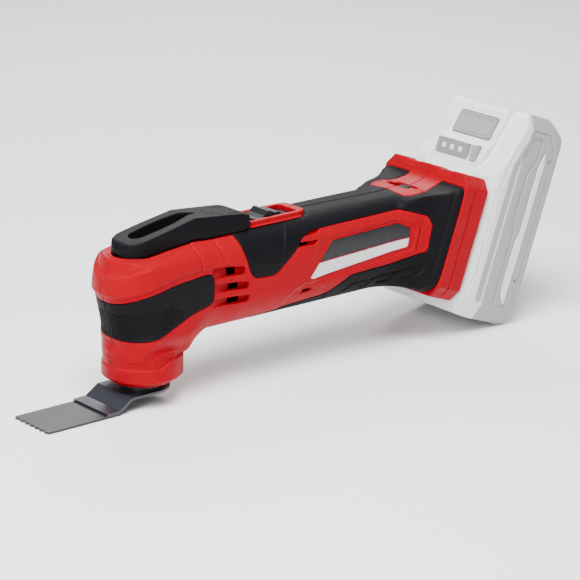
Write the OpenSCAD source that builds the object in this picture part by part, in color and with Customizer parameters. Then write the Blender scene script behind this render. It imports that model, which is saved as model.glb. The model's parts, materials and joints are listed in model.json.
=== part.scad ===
// Cordless oscillating multi-tool with a quick-release lever and a slide-on battery pack.
// Origin: on the spindle axis, at the level of the surface the tool stands on.
// +X points to the rear of the tool, +Z points up along the spindle, the left side is -Y.

/* [Saw blade] */
// Width of the saw blade and of its arm
blade_w = 34; // [28:1:40]
// Distance from the spindle axis to the blade's toothed end
blade_reach = 80.8; // [70:0.2:95]
// Thickness of the blade strip
blade_t = 1.2; // [0.8:0.1:1.4]
// Height of the arm's upper face, where the output flange sits
seat_z = 8.7; // [8.5:0.1:9]
// Thickness of the arm
arm_t = 1.5; // [1.2:0.1:1.6]

/* [Spindle] */
// Radius of the spindle shaft
spindle_r = 8.5; // [8.3:0.1:8.6]
// Height of the spindle's upper end
spindle_top = 75; // [74.5:0.1:75.2]
// Travel of the clamp bolt when the lever opens
clamp_travel = 3.5; // [2.5:0.1:3.5]
// Angle that the release lever opens to, in degrees
lever_open = 100; // [80:1:100]

/* [Body] */
// Half-width of the body along the handle
body_w = 26.8; // [26.4:0.1:27.2]
// Height of the handle's middle
body_z = 67.7; // [67.5:0.1:68]
// Half the height of the handle
body_h = 29.8; // [29.6:0.1:30]
// Thickness of the housing's wall
wall = 3; // [2.8:0.1:3]
// Thickness of the soft grips laid into the housing
grip_t = 1.4; // [1:0.1:1.5]
// Radius of the round collar under the head
collar_r = 24.2; // [24:0.1:24.6]

/* [Battery foot] */
// Angle between the battery face and the spindle axis, in degrees
tilt = 19.5; // [19:0.1:20]
// Half-width of the battery foot
foot_w = 38.5; // [38:0.1:39]
// Depth of the battery pack behind the foot's face
pack_depth = 58; // [50:1:60]
// Length of the battery pack
pack_len = 138; // [134:0.5:140]

/* [Motor] */
// Height of the motor's axis
motor_z = 68; // [67.8:0.1:68.2]
// Radius of the motor can
motor_r = 19; // [17:0.1:19.5]
// Offset of the eccentric that swings the fork
eccentric = 0.78; // [0.5:0.01:0.8]

/* [Hidden] */

// Gap left at the parting plane on each side, and between parts that only lie together
seam = 0.05;
lay = 0.1;
pack_n0 = 202;                                // front face of the pack, along the tilted frame
pack_n1 = pack_n0 + pack_depth;
rest_n = pack_n1 - 8;                         // the edge of the pack's bottom that meets the ground
pack_t0 = rest_n * tan(tilt);
pack_t1 = pack_t0 + pack_len;
foot_n0 = 182;
foot_t0 = 98;
foot_t1 = 179;
hinge_x = -9;
hinge_z = 94.5;
cam_r = 7;
nose_r = 10.3;
motor_x0 = 58;
motor_x1 = 118;
dial_x = 208.5;
dial_z = 83.4;
dial_r = 13.3;

red = [0.80, 0.09, 0.10];
black = [0.10, 0.10, 0.11];
steel = [0.62, 0.63, 0.65];
dark_steel = [0.22, 0.23, 0.26];
brass = [0.80, 0.62, 0.25];
copper = [0.72, 0.40, 0.22];
grey = [0.70, 0.71, 0.72];
mid_grey = [0.50, 0.51, 0.53];
board_green = [0.10, 0.35, 0.18];

// ---- outline functions; t moves every outline inwards ----

function oval(w, h, power, steps) = [
  for (i = [0 : steps - 1])
    let (a = 360 * (i + 0.5) / steps, c = cos(a), s = sin(a))
      [w * sign(c) * pow(abs(c), 2 / power), h * sign(s) * pow(abs(s), 2 / power)]];

function arc(cx, cy, r, a0, a1, steps) = [
  for (i = [0 : steps]) let (a = a0 + (a1 - a0) * i / steps) [cx + r * cos(a), cy + r * sin(a)]];

function body_side(t) = [
  [-21.7 + t, 34], [-21.7 + t, 40.3], [-23.1 + t, 42.2], [-28.4 + t, 65], [-31.1 + t, 71.5],
  [-31.1 + t, 79.9], [-25.2 + t, 89.4 - t], [-18 + t, 90.8 - t], [-4, 91.2 - t],
  [30, 96.6 - t], [60, 97.4 - t], [117, 97.5 - t], [206, 96.3 - t], [206, 39 + t],
  [60, 38.3 + t], [33 - t / 2, 40.2 + t], [22 - t, 31 + t]];

function head_section(t) = [
  [19 - t, 30], [21.5 - t, 36], [25 - t, 41.6], [body_w + 0.4 - t, 46], [body_w + 0.4 - t, 75],
  [25.6 - t, 81 - t / 3], [22 - t * 0.8, 87 - t / 2], [16, 91.5 - t], [10, 99], [-10, 99], [-16, 91.5 - t],
  [t * 0.8 - 22, 87 - t / 2], [t - 25.6, 81 - t / 3], [t - body_w - 0.4, 75], [t - body_w - 0.4, 46],
  [t - 25, 41.6], [t - 21.5, 36], [t - 19, 30]];

function body_plan(t) = concat(
  arc(body_w - 31.1, 0, body_w - t, 90, 270, 28), [[210, t - body_w], [210, body_w - t]]);

function neck_side(t) = [
  [166, 50], [166, 86], [200, 96 - t], [216, 96.6 - t], [226, 98.6 - t], [231.5, 103 - t],
  [236, 109 - t], [240, 120], [212, 24], [211, 29.5 + t], [200, 34 + t], [188, 38.4 + t], [176, 42]];

function neck_plan(t) = [
  [148, 22 - t], [156, 25.6 - t], [164, 27.6 - t], [170, 30.2 - t], [175, 33.6 - t],
  [179, 36.8 - t], [foot_n0, 37.8 - t], [foot_n0 + 4, 37.8 - t],
  [foot_n0 + 4, t - 37.8], [foot_n0, t - 37.8], [179, t - 36.8], [175, t - 33.6],
  [170, t - 30.2], [164, t - 27.6], [156, t - 25.6], [148, t - 22]];

function foot_face(t) = [
  [foot_w - t, 106], [foot_w - t, 171.5], [32.5 - t / 2, foot_t1 - t],
  [t / 2 - 32.5, foot_t1 - t], [t - foot_w, 171.5], [t - foot_w, 106],
  [t / 2 - 32, foot_t0 + t], [32 - t / 2, foot_t0 + t]];

// ---- placing helpers ----

// A YZ outline drawn from x0 to x1
module along_x(x0, x1) {
  translate([x0, 0, 0]) rotate([90, 0, 90]) linear_extrude(x1 - x0) children();
}

// An XZ outline drawn from y0 to y1
module along_y(y0, y1) {
  translate([0, y1, 0]) rotate([90, 0, 0]) linear_extrude(y1 - y0) children();
}

// The tilted frame of the battery foot: local X runs to the rear, local Z up the pack
module tilted() {
  rotate([0, tilt, 0]) children();
}

module box(lo, hi) {
  translate(lo) cube(hi - lo);
}

module rod_x(x0, x1, r) {
  translate([x0, 0, 0]) rotate([0, 90, 0]) cylinder(h = x1 - x0, r = r, $fn = 48);
}

module rod_y(y0, y1, r) {
  translate([0, y0, 0]) rotate([-90, 0, 0]) cylinder(h = y1 - y0, r = r, $fn = 48);
}

module tube_z(z0, z1, ro, ri) {
  difference() {
    translate([0, 0, z0]) cylinder(h = z1 - z0, r = ro, $fn = 64);
    translate([0, 0, z0 - 1]) cylinder(h = z1 - z0 + 2, r = ri, $fn = 64);
  }
}

module ring_x(x0, x1, ro, ri) {
  difference() {
    rod_x(x0, x1, ro);
    rod_x(x0 - 1, x1 + 1, ri);
  }
}

// Keeps the half on one side of the parting plane: side is -1 for left and 1 for right
module half(side, gap) {
  intersection() {
    children();
    box([-60, side < 0 ? -60 : gap, -10], [360, side < 0 ? -gap : 60, 180]);
  }
}

// ---- the body's outer surface, moved inwards by t ----

module main_body(t) {
  intersection() {
    along_y(-30, 30) polygon(body_side(t));
    translate([0, 0, 20]) linear_extrude(90) polygon(body_plan(t));
    union() {
      along_x(-40, 27) polygon(head_section(t));
      along_x(24, 210) translate([0, body_z]) polygon(oval(body_w + 0.3 - t, body_h - t, 2.7, 36));
    }
  }
}

module neck(t) {
  intersection() {
    along_y(-40, 40) polygon(neck_side(t));
    tilted() translate([0, 0, 80]) linear_extrude(110) polygon(neck_plan(t));
    tilted() along_x(140, foot_n0 + 4)
      translate([0, 138.5]) polygon(oval(foot_w - t, 40.2 - t, 5, 32));
  }
}

module foot(t, n0, n1) {
  tilted() along_x(n0, n1) polygon(foot_face(t));
}

module collar(t) {
  rotate_extrude($fn = 96) polygon([
    [0, 12.6 + t], [18.6 - t, 12.6 + t], [collar_r - t, 16.6 + t / 2], [collar_r - t, 24.4],
    [collar_r - 0.6 - t, 25], [collar_r - 0.6 - t, 34.6], [collar_r - 2.5 - t, 38], [0, 38]]);
}

module grip_zone_head() {
  along_y(-40, 40) polygon([
    [-40, 64.2], [-28, 64.8], [-22, 67.9], [-14.2, 71], [2.6, 75], [26, 77.5], [32, 77.4],
    [34.6, 74.6], [34.4, 61], [32.3, 58.6], [17.7, 55.2], [-8.4, 43.8], [-18.7, 42.4], [-40, 42.4]]);
}

// Flap, top strip and lower grip of the handle, seen from the side
module grip_zone_handle() {
  along_y(-40, 40) polygon([
    [56, 96.2], [58.6, 84], [61.5, 73.2], [64, 70], [67, 68.6], [80.5, 68.2], [84, 70.4],
    [97.6, 80.4], [104, 86.4], [112, 89.4], [186, 90.2], [205, 84], [207.5, 78], [203, 61.4],
    [175, 57.4], [143, 56.4], [123, 46], [96, 44], [70, 41], [70, 30], [215, 30], [240, 100],
    [205, 100.6], [116, 100.6], [114.5, 95.6], [60, 95.4]]);
}

module plate_zone() {
  along_y(-40, 40) polygon([
    [109.6, 60.4], [131, 81], [183, 82.2], [191.6, 77.6], [188.6, 67.2], [114, 58.8]]);
}

// Red strip on top of the neck, around the dial window; m makes it larger all round
module saddle_zone(m) {
  translate([0, 0, 80]) linear_extrude(50) polygon([
    [192 - 2 * m, 0], [198 - m, 9 + m], [204, 13.4 + m], [222, 14 + m], [245, 17 + m],
    [245, -17 - m], [222, -14 - m], [204, -13.4 - m], [198 - m, -9 - m]]);
}

module grip_zones() {
  grip_zone_head();
  difference() {
    grip_zone_handle();
    saddle_zone(0);
  }
}

module outer(t) {
  main_body(t);
  neck(t);
}

// Everything between depth t0 and depth t1 under the outer surface
module skin(t0, t1) {
  difference() {
    outer(t0);
    outer(t1);
  }
}

// ---- housing ----

// Screw places in the side view: x and z
screw_spots = [[-20.5, 61.5], [50.5, 45], [50.5, 90.4], [123.5, 45.6], [158, 89.6], [186, 46]];
boss_r = 3.4;
head_y = 14.2;

module screw_bosses(side) {
  intersection() {
    for (p = screw_spots) {
      translate([p[0], 0, p[1]]) rod_y(side < 0 ? -30 : seam, side < 0 ? -seam : 30, boss_r);
    }
    outer(grip_t + 0.6);
  }
}

module screw_holes(side) {
  for (p = screw_spots) {
    translate([p[0], 0, p[1]]) {
      rod_y(-12.6, 20, side < 0 ? 1.75 : 1.9);
      if (side > 0) rod_y(head_y, 40, 3.3);
    }
  }
}

module motor_ribs() {
  difference() {
    intersection() {
      for (x = [66, 109]) box([x, -30, 36], [x + 2, 30, 98]);
      main_body(wall - 1);
    }
    translate([0, 0, motor_z]) rod_x(60, 114, motor_r + lay);
    box([60, -4, 80], [114, 4, 99]);
  }
}

// Round and square openings in the top of the head, under the lever
module lever_well() {
  translate([hinge_x, 0, hinge_z]) rod_y(-14, 14, nose_r + 0.6);
  box([-15.5, -12.9, 78], [4.5, 12.9, 100]);
  box([3, -4.8, 84], [15.5, 4.8, 100]);
}

module switch_well() {
  box([78, -8.4, 92], [112.4, 8.4, 110]);
}

module dial_window() {
  box([dial_x - 5.6, -9.2, 88], [dial_x + 5.6, 9.2, 110]);
}

module slot_recess(x0, x1, z0, z1, depth) {
  box([x0, body_w - depth, z0], [x1, 40, z1]);
  box([x0, -40, z0], [x1, depth - body_w, z1]);
}

module side_vents() {
  for (i = [0 : 2]) {
    x = 31 + 2 * i;
    z = 73 - 9.4 * i;
    slot_recess(x, x + 26, z, z + 5.2, 1.2);
    slot_recess(x + 13, x + 21, z + 0.6, z + 4.6, 12);
  }
  for (i = [0 : 1]) {
    slot_recess(105 - 2 * i, 118 - 3 * i, 83.6 - 5 * i, 86.6 - 5 * i, 12);
  }
  slot_recess(116, 126, 50, 53, 12);
}

// Raised block and marks of the adapter collar
module collar_marks() {
  intersection() {
    difference() {
      translate([0, 0, 14]) cylinder(h = 15.4, r = collar_r + 0.5, $fn = 96);
      translate([0, 0, 10]) cylinder(h = 24, r = collar_r - 3, $fn = 96);
    }
    for (s = [-1, 1]) {
      along_y(s < 0 ? -30 : 8, s < 0 ? -8 : 30)
        polygon([[-2, 16.6], [19, 16.6], [19, 29], [5, 29], [-2, 25]]);
    }
  }
}

module housing(side) {
  color(red) half(side, seam) {
    difference() {
      union() {
        difference() {
          union() {
            outer(0);
            collar(0);
            collar_marks();
            foot(0, foot_n0, pack_n0);
          }
          main_body(wall);
          neck(wall);
          translate([0, 0, 14.6]) cylinder(h = 32, r = 19.2, $fn = 96);
          foot(wall, foot_n0 + 3, pack_n0 - 8.2);
          intersection() {
            skin(-3, grip_t + lay);
            grip_zones();
            tilted() box([-100, -60, 0], [foot_n0, 60, 240]);
          }
        }
        screw_bosses(side);
        motor_ribs();
      }
      translate([0, 0, 5]) cylinder(h = 12, r = 14, $fn = 64);
      tilted() box([pack_n0 - 9, -26.4, 102.5], [pack_n0 - 3.4, 26.4, 190]);
      tilted() box([pack_n0 - 4, -22.4, 102.5], [pack_n0 + 8, 22.4, 190]);
      intersection() {
        difference() {
          main_body(-2);
          main_body(0.5);
        }
        plate_zone();
      }
      lever_well();
      switch_well();
      dial_window();
      side_vents();
      screw_holes(side);
    }
  }
}

module housing_left() {
  housing(-1);
}

module housing_right() {
  housing(1);
}

// ---- soft grips and plates ----

module grip(side) {
  color(black) half(side, 0.15) difference() {
    intersection() {
      skin(0, grip_t);
      children();
      tilted() box([-100, -60, 0], [foot_n0 - lay, 60, 240]);
    }
    if (side > 0) screw_holes(side);
  }
}

module head_grip_left() {
  grip(-1) grip_zone_head();
}

module head_grip_right() {
  grip(1) grip_zone_head();
}

module handle_grip_zone() {
  difference() {
    grip_zone_handle();
    saddle_zone(lay);
    switch_well();
  }
}

module handle_grip_left() {
  grip(-1) handle_grip_zone();
}

module handle_grip_right() {
  grip(1) handle_grip_zone();
}

module name_plate(side) {
  color(grey) half(side, 5) intersection() {
    difference() {
      main_body(0.05);
      main_body(0.4);
    }
    plate_zone();
  }
}

module name_plate_left() {
  name_plate(-1);
}

module name_plate_right() {
  name_plate(1);
}

module housing_screws() {
  color(steel) for (p = screw_spots) {
    translate([p[0], 0, p[1]]) difference() {
      union() {
        rod_y(-12, head_y + 1, 1.7);
        rod_y(head_y + lay, head_y + 3.2, 3.1);
      }
      rod_y(head_y + 1.8, head_y + 4, 1.3);
    }
  }
}

// ---- quick-release lever and clamp ----

module lever_outline() {
  translate([0, 0, 80]) linear_extrude(40) polygon(concat(
    arc(-6.2, 0, 13.1, 90, 270, 24),
    [[30, -14.2], [62, -15.2], [70, -14.4], [74.6, -9], [75.8, 0],
     [74.6, 9], [70, 14.4], [62, 15.2], [30, 14.2]]));
}

module cam_hub() {
  intersection() {
    along_y(-12, 12) polygon(concat(
      [for (i = [0 : 20]) let (a = -90 - 5 * i, r = cam_r + clamp_travel * 5 * i / lever_open)
        [hinge_x + r * cos(a), hinge_z + r * sin(a)]],
      [[hinge_x, hinge_z + 3], [hinge_x + 4, hinge_z], [hinge_x + 3, hinge_z - 5]]));
    lever_outline();
  }
}

module release_lever() {
  color(black) difference() {
    union() {
      difference() {
        intersection() {
          along_y(-20, 20) polygon([
            [-19.3, 95], [-18.7, 92.8], [-17.2, 91.6], [0, 92.1], [20, 94.7], [64, 95.2], [74, 96.4],
            [75.8, 98.4], [75.3, 101.9], [72.5, 103.9], [66.5, 105.8], [30.6, 108.9],
            [-15.6, 99.7], [-18.2, 98.2]]);
          along_x(-30, 90) polygon([
            [-15.9, 90], [15.9, 90], [15, 98], [12, 109.5], [-12, 109.5], [-15, 98]]);
          lever_outline();
        }
        main_body(-0.4);
      }
      cam_hub();
    }
    // finger slot, pointed towards the rear
    translate([0, 0, 84]) linear_extrude(40) polygon(concat(
      arc(-3.6, 0, 5.1, 90, 270, 12),
      [[8, -5.8], [18, -5.6], [28, -4], [40, 0], [28, 4], [18, 5.6], [8, 5.8]]));
    // pocket that the bracket's lug stands in
    along_y(-4.8, 4.8) polygon([
      [-22, 82], [0, 82], [0, 98.4], [-13.3, 98.4], [-16.6, 96.2], [-16.6, 91], [-22, 91]]);
    translate([hinge_x, 0, hinge_z]) rod_y(-11.1, 20, 2.02);
  }
}

module lever_pin() {
  color(steel) translate([hinge_x, 0, hinge_z]) rod_y(-11, 10.8, 2);
}

module lever_bracket() {
  color(steel) difference() {
    along_y(-4.3, 4.3) polygon(concat(
      arc(hinge_x, hinge_z, 3.5, 70, 270, 14),
      [[4.4, 88.4], [6, 84], [35.9, 84], [35.9, 90.6], [14, 90.6], [6, 94]]));
    translate([hinge_x, 0, hinge_z]) rod_y(-6, 6, 2.06);
  }
}

module release_plunger() {
  color(steel) {
    box([-14.8, -12.4, 80], [3.8, 12.4, hinge_z - cam_r - 0.4]);
    translate([0, 0, 73.1]) cylinder(h = 7, r = 5, $fn = 48);
  }
}

module clamp_bolt() {
  color(dark_steel) {
    translate([0, 0, 4.1]) cylinder(h = 1.2, r1 = 7.6, r2 = 8.6, $fn = 64);
    translate([0, 0, 5.3]) cylinder(h = 1.8, r = 8.6, $fn = 64);
    translate([0, 0, 7.1]) cylinder(h = 65.9, r = 4, $fn = 48);
  }
}

module clamp_nut() {
  color(steel) difference() {
    translate([0, 0, 60.2]) cylinder(h = 12.8, r = 6.5, $fn = 48);
    translate([0, 0, 59]) cylinder(h = 15, r = 4.02, $fn = 48);
  }
}

module disc_springs() {
  pitch = 1.68;
  color(steel) for (i = [0 : 19]) {
    translate([0, 0, 26.2 + pitch * i]) rotate_extrude($fn = 48)
      polygon(i % 2 == 0 ? [[4.3, 0], [6.4, 0.85], [6.4, 1.6], [4.3, 0.75]]
                         : [[4.3, 0.85], [6.4, 0], [6.4, 0.75], [4.3, 1.6]]);
  }
}

module spindle() {
  color(steel) difference() {
    translate([0, 0, 12.4]) cylinder(h = spindle_top - 12.4, r = spindle_r, $fn = 64);
    translate([0, 0, 10]) cylinder(h = 70, r = 4.1, $fn = 48);
    translate([0, 0, 26]) cylinder(h = 60, r = 6.7, $fn = 48);
    tube_z(53.1, 54.5, 12, 7.9);
  }
}

module bearing_clip() {
  color(dark_steel) difference() {
    tube_z(53.2, 54.4, 11, 7.95);
    box([-2, 0, 50], [2, 20, 60]);
  }
}

module output_flange() {
  color(dark_steel) difference() {
    union() {
      translate([0, 0, seat_z + 0.02]) cylinder(h = 3.6, r = 13, $fn = 64);
      for (i = [0 : 7]) rotate([0, 0, 45 * i]) translate([9, 0, seat_z - 1.2])
        cylinder(h = 2, r = 1.3, $fn = 24);
    }
    translate([0, 0, 0]) cylinder(h = 20, r = 4.1, $fn = 48);
  }
}

module dust_seal() {
  color([0.25, 0.24, 0.22]) tube_z(12.8, 14.5, 13.8, spindle_r + 0.1);
}

module lower_bearing() {
  color(steel) tube_z(15, 24, 16, spindle_r + 0.02);
}

module upper_bearing() {
  color(steel) tube_z(45, 53, 14, spindle_r + 0.02);
}

module gear_case() {
  color([0.55, 0.56, 0.58]) difference() {
    union() {
      translate([0, 0, 14.7]) cylinder(h = 41.3, r = 19, $fn = 96);
      intersection() {
        union() {
          box([0, -17, 46], [37, 17, 56]);
          box([36, -21, 44], [46, 21, 91]);
        }
        main_body(wall + lay);
      }
    }
    translate([0, 0, 10]) cylinder(h = 14.05, r = 16.02, $fn = 64);
    translate([0, 0, 10]) cylinder(h = 60, r = 12, $fn = 64);
    translate([0, 0, 44.98]) cylinder(h = 20, r = 14.02, $fn = 64);
    translate([0, 0, motor_z]) rod_x(38.4, 50, 9.52);
    translate([0, 0, motor_z]) rod_x(30, 50, 6);
    for (p = screw_spots) translate([p[0], 0, p[1]]) rod_y(-30, 30, boss_r + 0.3);
  }
}

module drive_fork() {
  color(steel) difference() {
    union() {
      translate([0, 0, 61.5]) cylinder(h = 13, r = 13, $fn = 64);
      for (s = [-1, 1]) box([0, s < 0 ? -15 : 11.2, 61.5], [33, s < 0 ? -11.2 : 15, 74.5]);
      box([9, -12, 61.5], [14, 12, 74.5]);
    }
    translate([0, 0, 60]) cylinder(h = 20, r = spindle_r + 0.02, $fn = 64);
  }
}

// ---- blade ----

module blade_arm() {
  z0 = blade_t;
  z1 = blade_t + arm_t;
  color([0.10, 0.11, 0.14]) difference() {
    intersection() {
      along_y(-blade_w / 2, blade_w / 2) polygon([
        [-38, z0], [-28.4, z0], [-19.2, seat_z - arm_t], [40, seat_z - arm_t], [40, seat_z],
        [-19.9, seat_z], [-29.1, z1], [-38, z1]]);
      linear_extrude(20) polygon(concat(
        [[-40, blade_w / 2], [-40, -blade_w / 2]], arc(0, 0, blade_w / 2, -90, 90, 32)));
    }
    translate([0, 0, 5]) cylinder(h = 5, r = 5.1, $fn = 48);
    for (i = [0 : 7]) rotate([0, 0, 45 * i]) translate([9, 0, 5]) cylinder(h = 5, r = 1.4, $fn = 24);
  }
}

module saw_blade() {
  teeth = 7;
  pitch = blade_w / teeth;
  color(dark_steel) {
    linear_extrude(blade_t) polygon(concat(
      [[-28.6, -blade_w / 2], [-28.6, blade_w / 2]],
      [for (i = [0 : teeth - 1], k = [0 : 2])
        [k == 1 ? -blade_reach : -blade_reach + 1.6,
         blade_w / 2 - pitch * (i + (k == 0 ? 0.02 : k == 1 ? 0.35 : 0.98))]]));
  }
}

// ---- motor ----

module on_motor_axis() {
  translate([0, 0, motor_z]) children();
}

module rotor_shaft() {
  color(steel) on_motor_axis() rod_x(23, 123.5, 3);
}

module armature() {
  color(dark_steel) on_motor_axis() difference() {
    rod_x(66, 100, 13);
    rod_x(60, 110, 3.01);
    for (i = [0 : 8]) rotate([40 * i, 0, 0]) translate([0, 0, 12.6]) rod_x(60, 110, 1.6);
  }
  color(copper) on_motor_axis() {
    ring_x(60.6, 65.9, 11.5, 3.01);
    ring_x(100.1, 104.6, 11.5, 3.01);
  }
}

module commutator() {
  color(copper) on_motor_axis() difference() {
    ring_x(105.4, 113.4, 6, 3.01);
    for (i = [0 : 8]) rotate([40 * i, 0, 0]) box([107, -0.3, 5], [114, 0.3, 8]);
  }
}

module cooling_fan() {
  color(black) on_motor_axis() difference() {
    union() {
      rod_x(47.4, 56.4, 6);
      rod_x(55, 56.4, 16.6);
      for (i = [0 : 10]) rotate([360 / 11 * i, 0, 0]) box([48.4, -0.6, 4], [55.2, 0.6, 16.2]);
    }
    rod_x(40, 60, 3.01);
  }
}

module eccentric_sleeve() {
  color(steel) on_motor_axis() difference() {
    union() {
      translate([0, 0, eccentric]) rod_x(24, 32, 4.9);
      translate([0, 0, -2]) rod_x(32, 35.6, 7);
    }
    rod_x(20, 40, 3.01);
  }
}

module eccentric_bearing() {
  color(steel) on_motor_axis() translate([0, 0, eccentric]) ring_x(24.4, 31.6, 9.5, 4.92);
}

module front_bearing() {
  color(steel) on_motor_axis() ring_x(38.5, 45.5, 9.5, 3.02);
}

module rear_bearing() {
  color(steel) on_motor_axis() ring_x(118.6, 123, 6.4, 3.02);
}

module motor_can() {
  color(steel) on_motor_axis() difference() {
    rod_x(motor_x0, motor_x1, motor_r);
    rod_x(motor_x0 + 1.4, motor_x1 + 1, motor_r - 1.4);
    rod_x(motor_x0 - 1, motor_x1, 7);
    for (i = [0 : 3]) rotate([45 + 90 * i, 0, 0]) translate([0, 0, 12]) rod_x(motor_x0 - 1, 70, 3);
  }
  color(dark_steel) on_motor_axis() for (s = [-1, 1]) {
    intersection() {
      ring_x(64, 102, motor_r - 1.4, 14);
      box([60, s < 0 ? -20 : 6, -14], [110, s < 0 ? -6 : 20, 14]);
    }
  }
}

module motor_end_cap() {
  color(black) on_motor_axis() difference() {
    rod_x(motor_x1 + 0.05, 124, motor_r);
    rod_x(118.4, 130, 6.42);
    rod_x(110, 130, 4);
  }
}

module carbon_brushes() {
  color([0.2, 0.2, 0.2]) on_motor_axis() for (s = [-1, 1]) {
    box([106.6, s < 0 ? -12 : 6.2, -2.4], [112.4, s < 0 ? -6.2 : 12, 2.4]);
  }
}

// ---- switch and electronics ----

module switch_slider() {
  color(black) {
    along_y(-7.2, 7.2) polygon([
      [80.2, 97], [80.2, 98.3], [84.5, 98.1], [87.5, 99.4], [90.4, 102], [92.2, 102],
      [95.6, 100.2], [98.6, 100.4], [102.6, 98.2], [103.6, 97]]);
    box([86, -2.7, 91.5], [94, 2.7, 97]);
  }
}

// Dark floor of the switch's island, with the slot that the slider's stem runs in
module switch_cover() {
  color(black) difference() {
    along_y(-8.2, 8.2) polygon([
      [78.2, 94.6], [112.2, 94.6], [112.2, 96], [104, 96.8], [78.2, 96.8]]);
    box([85.8, -2.9, 90], [101.6, 2.9, 100]);
  }
}

module switch_rod() {
  color(mid_grey) difference() {
    box([84, -3, 88.4], [127.6, 3, 91.4]);
    box([98, -1, 88], [120, 1, 92]);
  }
}

module switch_module() {
  color(black) {
    box([136, -8, 74], [153, 8, 91]);
    box([153, -5, 78], [156, 5, 84]);
  }
}

module speed_dial() {
  color(black) translate([0, 0, dial_z]) difference() {
    union() {
      rod_x(dial_x - 4.4, dial_x + 4.4, dial_r);
      rod_x(dial_x - 8, dial_x - 4, 4);
    }
    for (i = [0 : 23]) rotate([15 * i, 0, 0]) translate([0, 0, dial_r])
      rod_x(dial_x + 1.6, dial_x + 6, 0.7);
    rod_x(dial_x - 1, dial_x + 6, 3.05);
  }
}

module dial_potentiometer() {
  color(mid_grey) {
    translate([0, 0, dial_z]) rod_x(dial_x + 0.4, dial_x + 7, 3);
    box([dial_x + 7, -8, 75], [dial_x + 13, 8, 91]);
  }
}

module control_board() {
  color(board_green) box([130, -14, 46], [178, 14, 47.6]);
  color(steel) box([134, -12, 47.6], [150, 12, 56]);
  color(black) {
    for (i = [0 : 2]) box([155, -11 + 8 * i, 47.6], [160, -5 + 8 * i, 50.4]);
    box([164, -6, 47.6], [172, 6, 49.4]);
  }
}

// A wire that runs to the rear: eight-sided rings across X, joined along the points
module wire(points, r) {
  sides = 8;
  n = len(points);
  rings = [for (p = points, k = [0 : sides - 1])
    p + [0, r * cos(360 * k / sides), r * sin(360 * k / sides)]];
  walls = [for (i = [0 : n - 2], k = [0 : sides - 1])
    [i * sides + k, (i + 1) * sides + k, (i + 1) * sides + (k + 1) % sides, i * sides + (k + 1) % sides]];
  polyhedron(rings, concat(
    walls, [[for (k = [0 : sides - 1]) k]], [[for (k = [sides - 1 : -1 : 0]) (n - 1) * sides + k]]));
}

module motor_leads() {
  motor_path = [[124.2, 12, 66], [128, 13, 66], [132, 14, 60], [140, 15.4, 54], [160, 15.4, 51]];
  color([0.7, 0.1, 0.1]) wire(motor_path, 1);
  color([0.1, 0.1, 0.1]) wire([for (p = motor_path) [p[0], -p[1], p[2]]], 1);
  color([0.1, 0.1, 0.1]) wire([[156.4, 3, 81], [166, 3, 78], [180, 6, 74], [192, 8, 72]], 1);
  color([0.7, 0.1, 0.1]) wire([[178.4, -3, 47], [184, -3, 52], [190, -8, 60], [194, -8, 66]], 1);
}

module battery_dock() {
  color(black) tilted() difference() {
    union() {
      box([pack_n0 - 12.5, -20, 103], [pack_n0 - 8.4, 20, 150]);
      box([pack_n0 - 12.5, -20, 102.8], [pack_n0 - 1, 20, 105.4]);
    }
    for (y = [-12, 0, 12]) box([pack_n0 - 7.1, y - 0.45, 100], [pack_n0 - 1.9, y + 0.45, 110]);
  }
}

module dock_contacts() {
  color(brass) tilted() for (y = [-12, 0, 12]) {
    box([pack_n0 - 7, y - 0.4, 103], [pack_n0 - 2, y + 0.4, 124]);
  }
}

// ---- battery pack, drawn in the tilted frame ----

module pack_side_outline(c) {
  polygon([
    [pack_n0 + 0.2 + c, pack_t0 + 8], [pack_n0 + 5, pack_t0 + 2 + c], [pack_n0 + 20, pack_t0 + c],
    [rest_n - c / 2, pack_t0 + c], [rest_n + 5.5 - c, pack_t0 + 6], [pack_n1 - c, pack_t0 + 12],
    [pack_n1 - c, pack_t1 - 16], [pack_n1 - 1.6 - c, pack_t1 - 13.6],
    [pack_n1 - 12 - c, pack_t1 - 2 - c], [pack_n1 - 16 - c / 2, pack_t1 - c],
    [pack_n0 + 23, pack_t1 - c], [pack_n0 + 19 + c, pack_t1 - 4],
    [pack_n0 + 9 + c, pack_t1 - 34], [pack_n0 + 3 + c, 186], [pack_n0 + 0.2 + c, 181]]);
}

module pack_hull(c) {
  intersection() {
    along_y(c - 39, 39 - c) pack_side_outline(c);
    linear_extrude(300) polygon([
      [pack_n0 - 1, 34 - c], [pack_n0 + 8, 39 - c], [pack_n1 - 6, 39 - c], [pack_n1 + 1, 35 - c],
      [pack_n1 + 1, c - 35], [pack_n1 - 6, c - 39], [pack_n0 + 8, c - 39], [pack_n0 - 1, c - 34]]);
    along_x(pack_n0 - 2, pack_n1 + 2) polygon([
      [39 - c, 104], [39 - c, pack_t1 - 10], [33 - c, pack_t1 - c], [c - 33, pack_t1 - c],
      [c - 39, pack_t1 - 10], [c - 39, 104], [c - 33, pack_t0 + c], [33 - c, pack_t0 + c]]);
  }
}

// Raised middle of the front face above the foot, with the gauge and the button
module pack_bridge(c) {
  along_y(c - 22, 22 - c) polygon([
    [pack_n0 + 0.6 + c, 180], [pack_n0 + 1.6 + c, 188], [pack_n0 + 4.4 + c, 198.5],
    [pack_n0 + 9 + c, 203], [pack_n0 + 14.6 + c, pack_t1 - 4], [pack_n0 + 17 + c, pack_t1 - 1 - c],
    [pack_n0 + 30, pack_t1 - 1 - c], [pack_n0 + 30, 180]]);
}

module pack_rails() {
  box([pack_n0 - 3.8, -22, 106], [pack_n0 + 4, 22, 179]);
  box([pack_n0 - 8, -26, 106], [pack_n0 - 3.7, 26, 179]);
}

// Wall behind the release button that its springs push against
module spring_seat() {
  box([pack_n0 + 28, -14, 205.6], [pack_n0 + 31, 14, pack_t1 - 1]);
}

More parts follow.
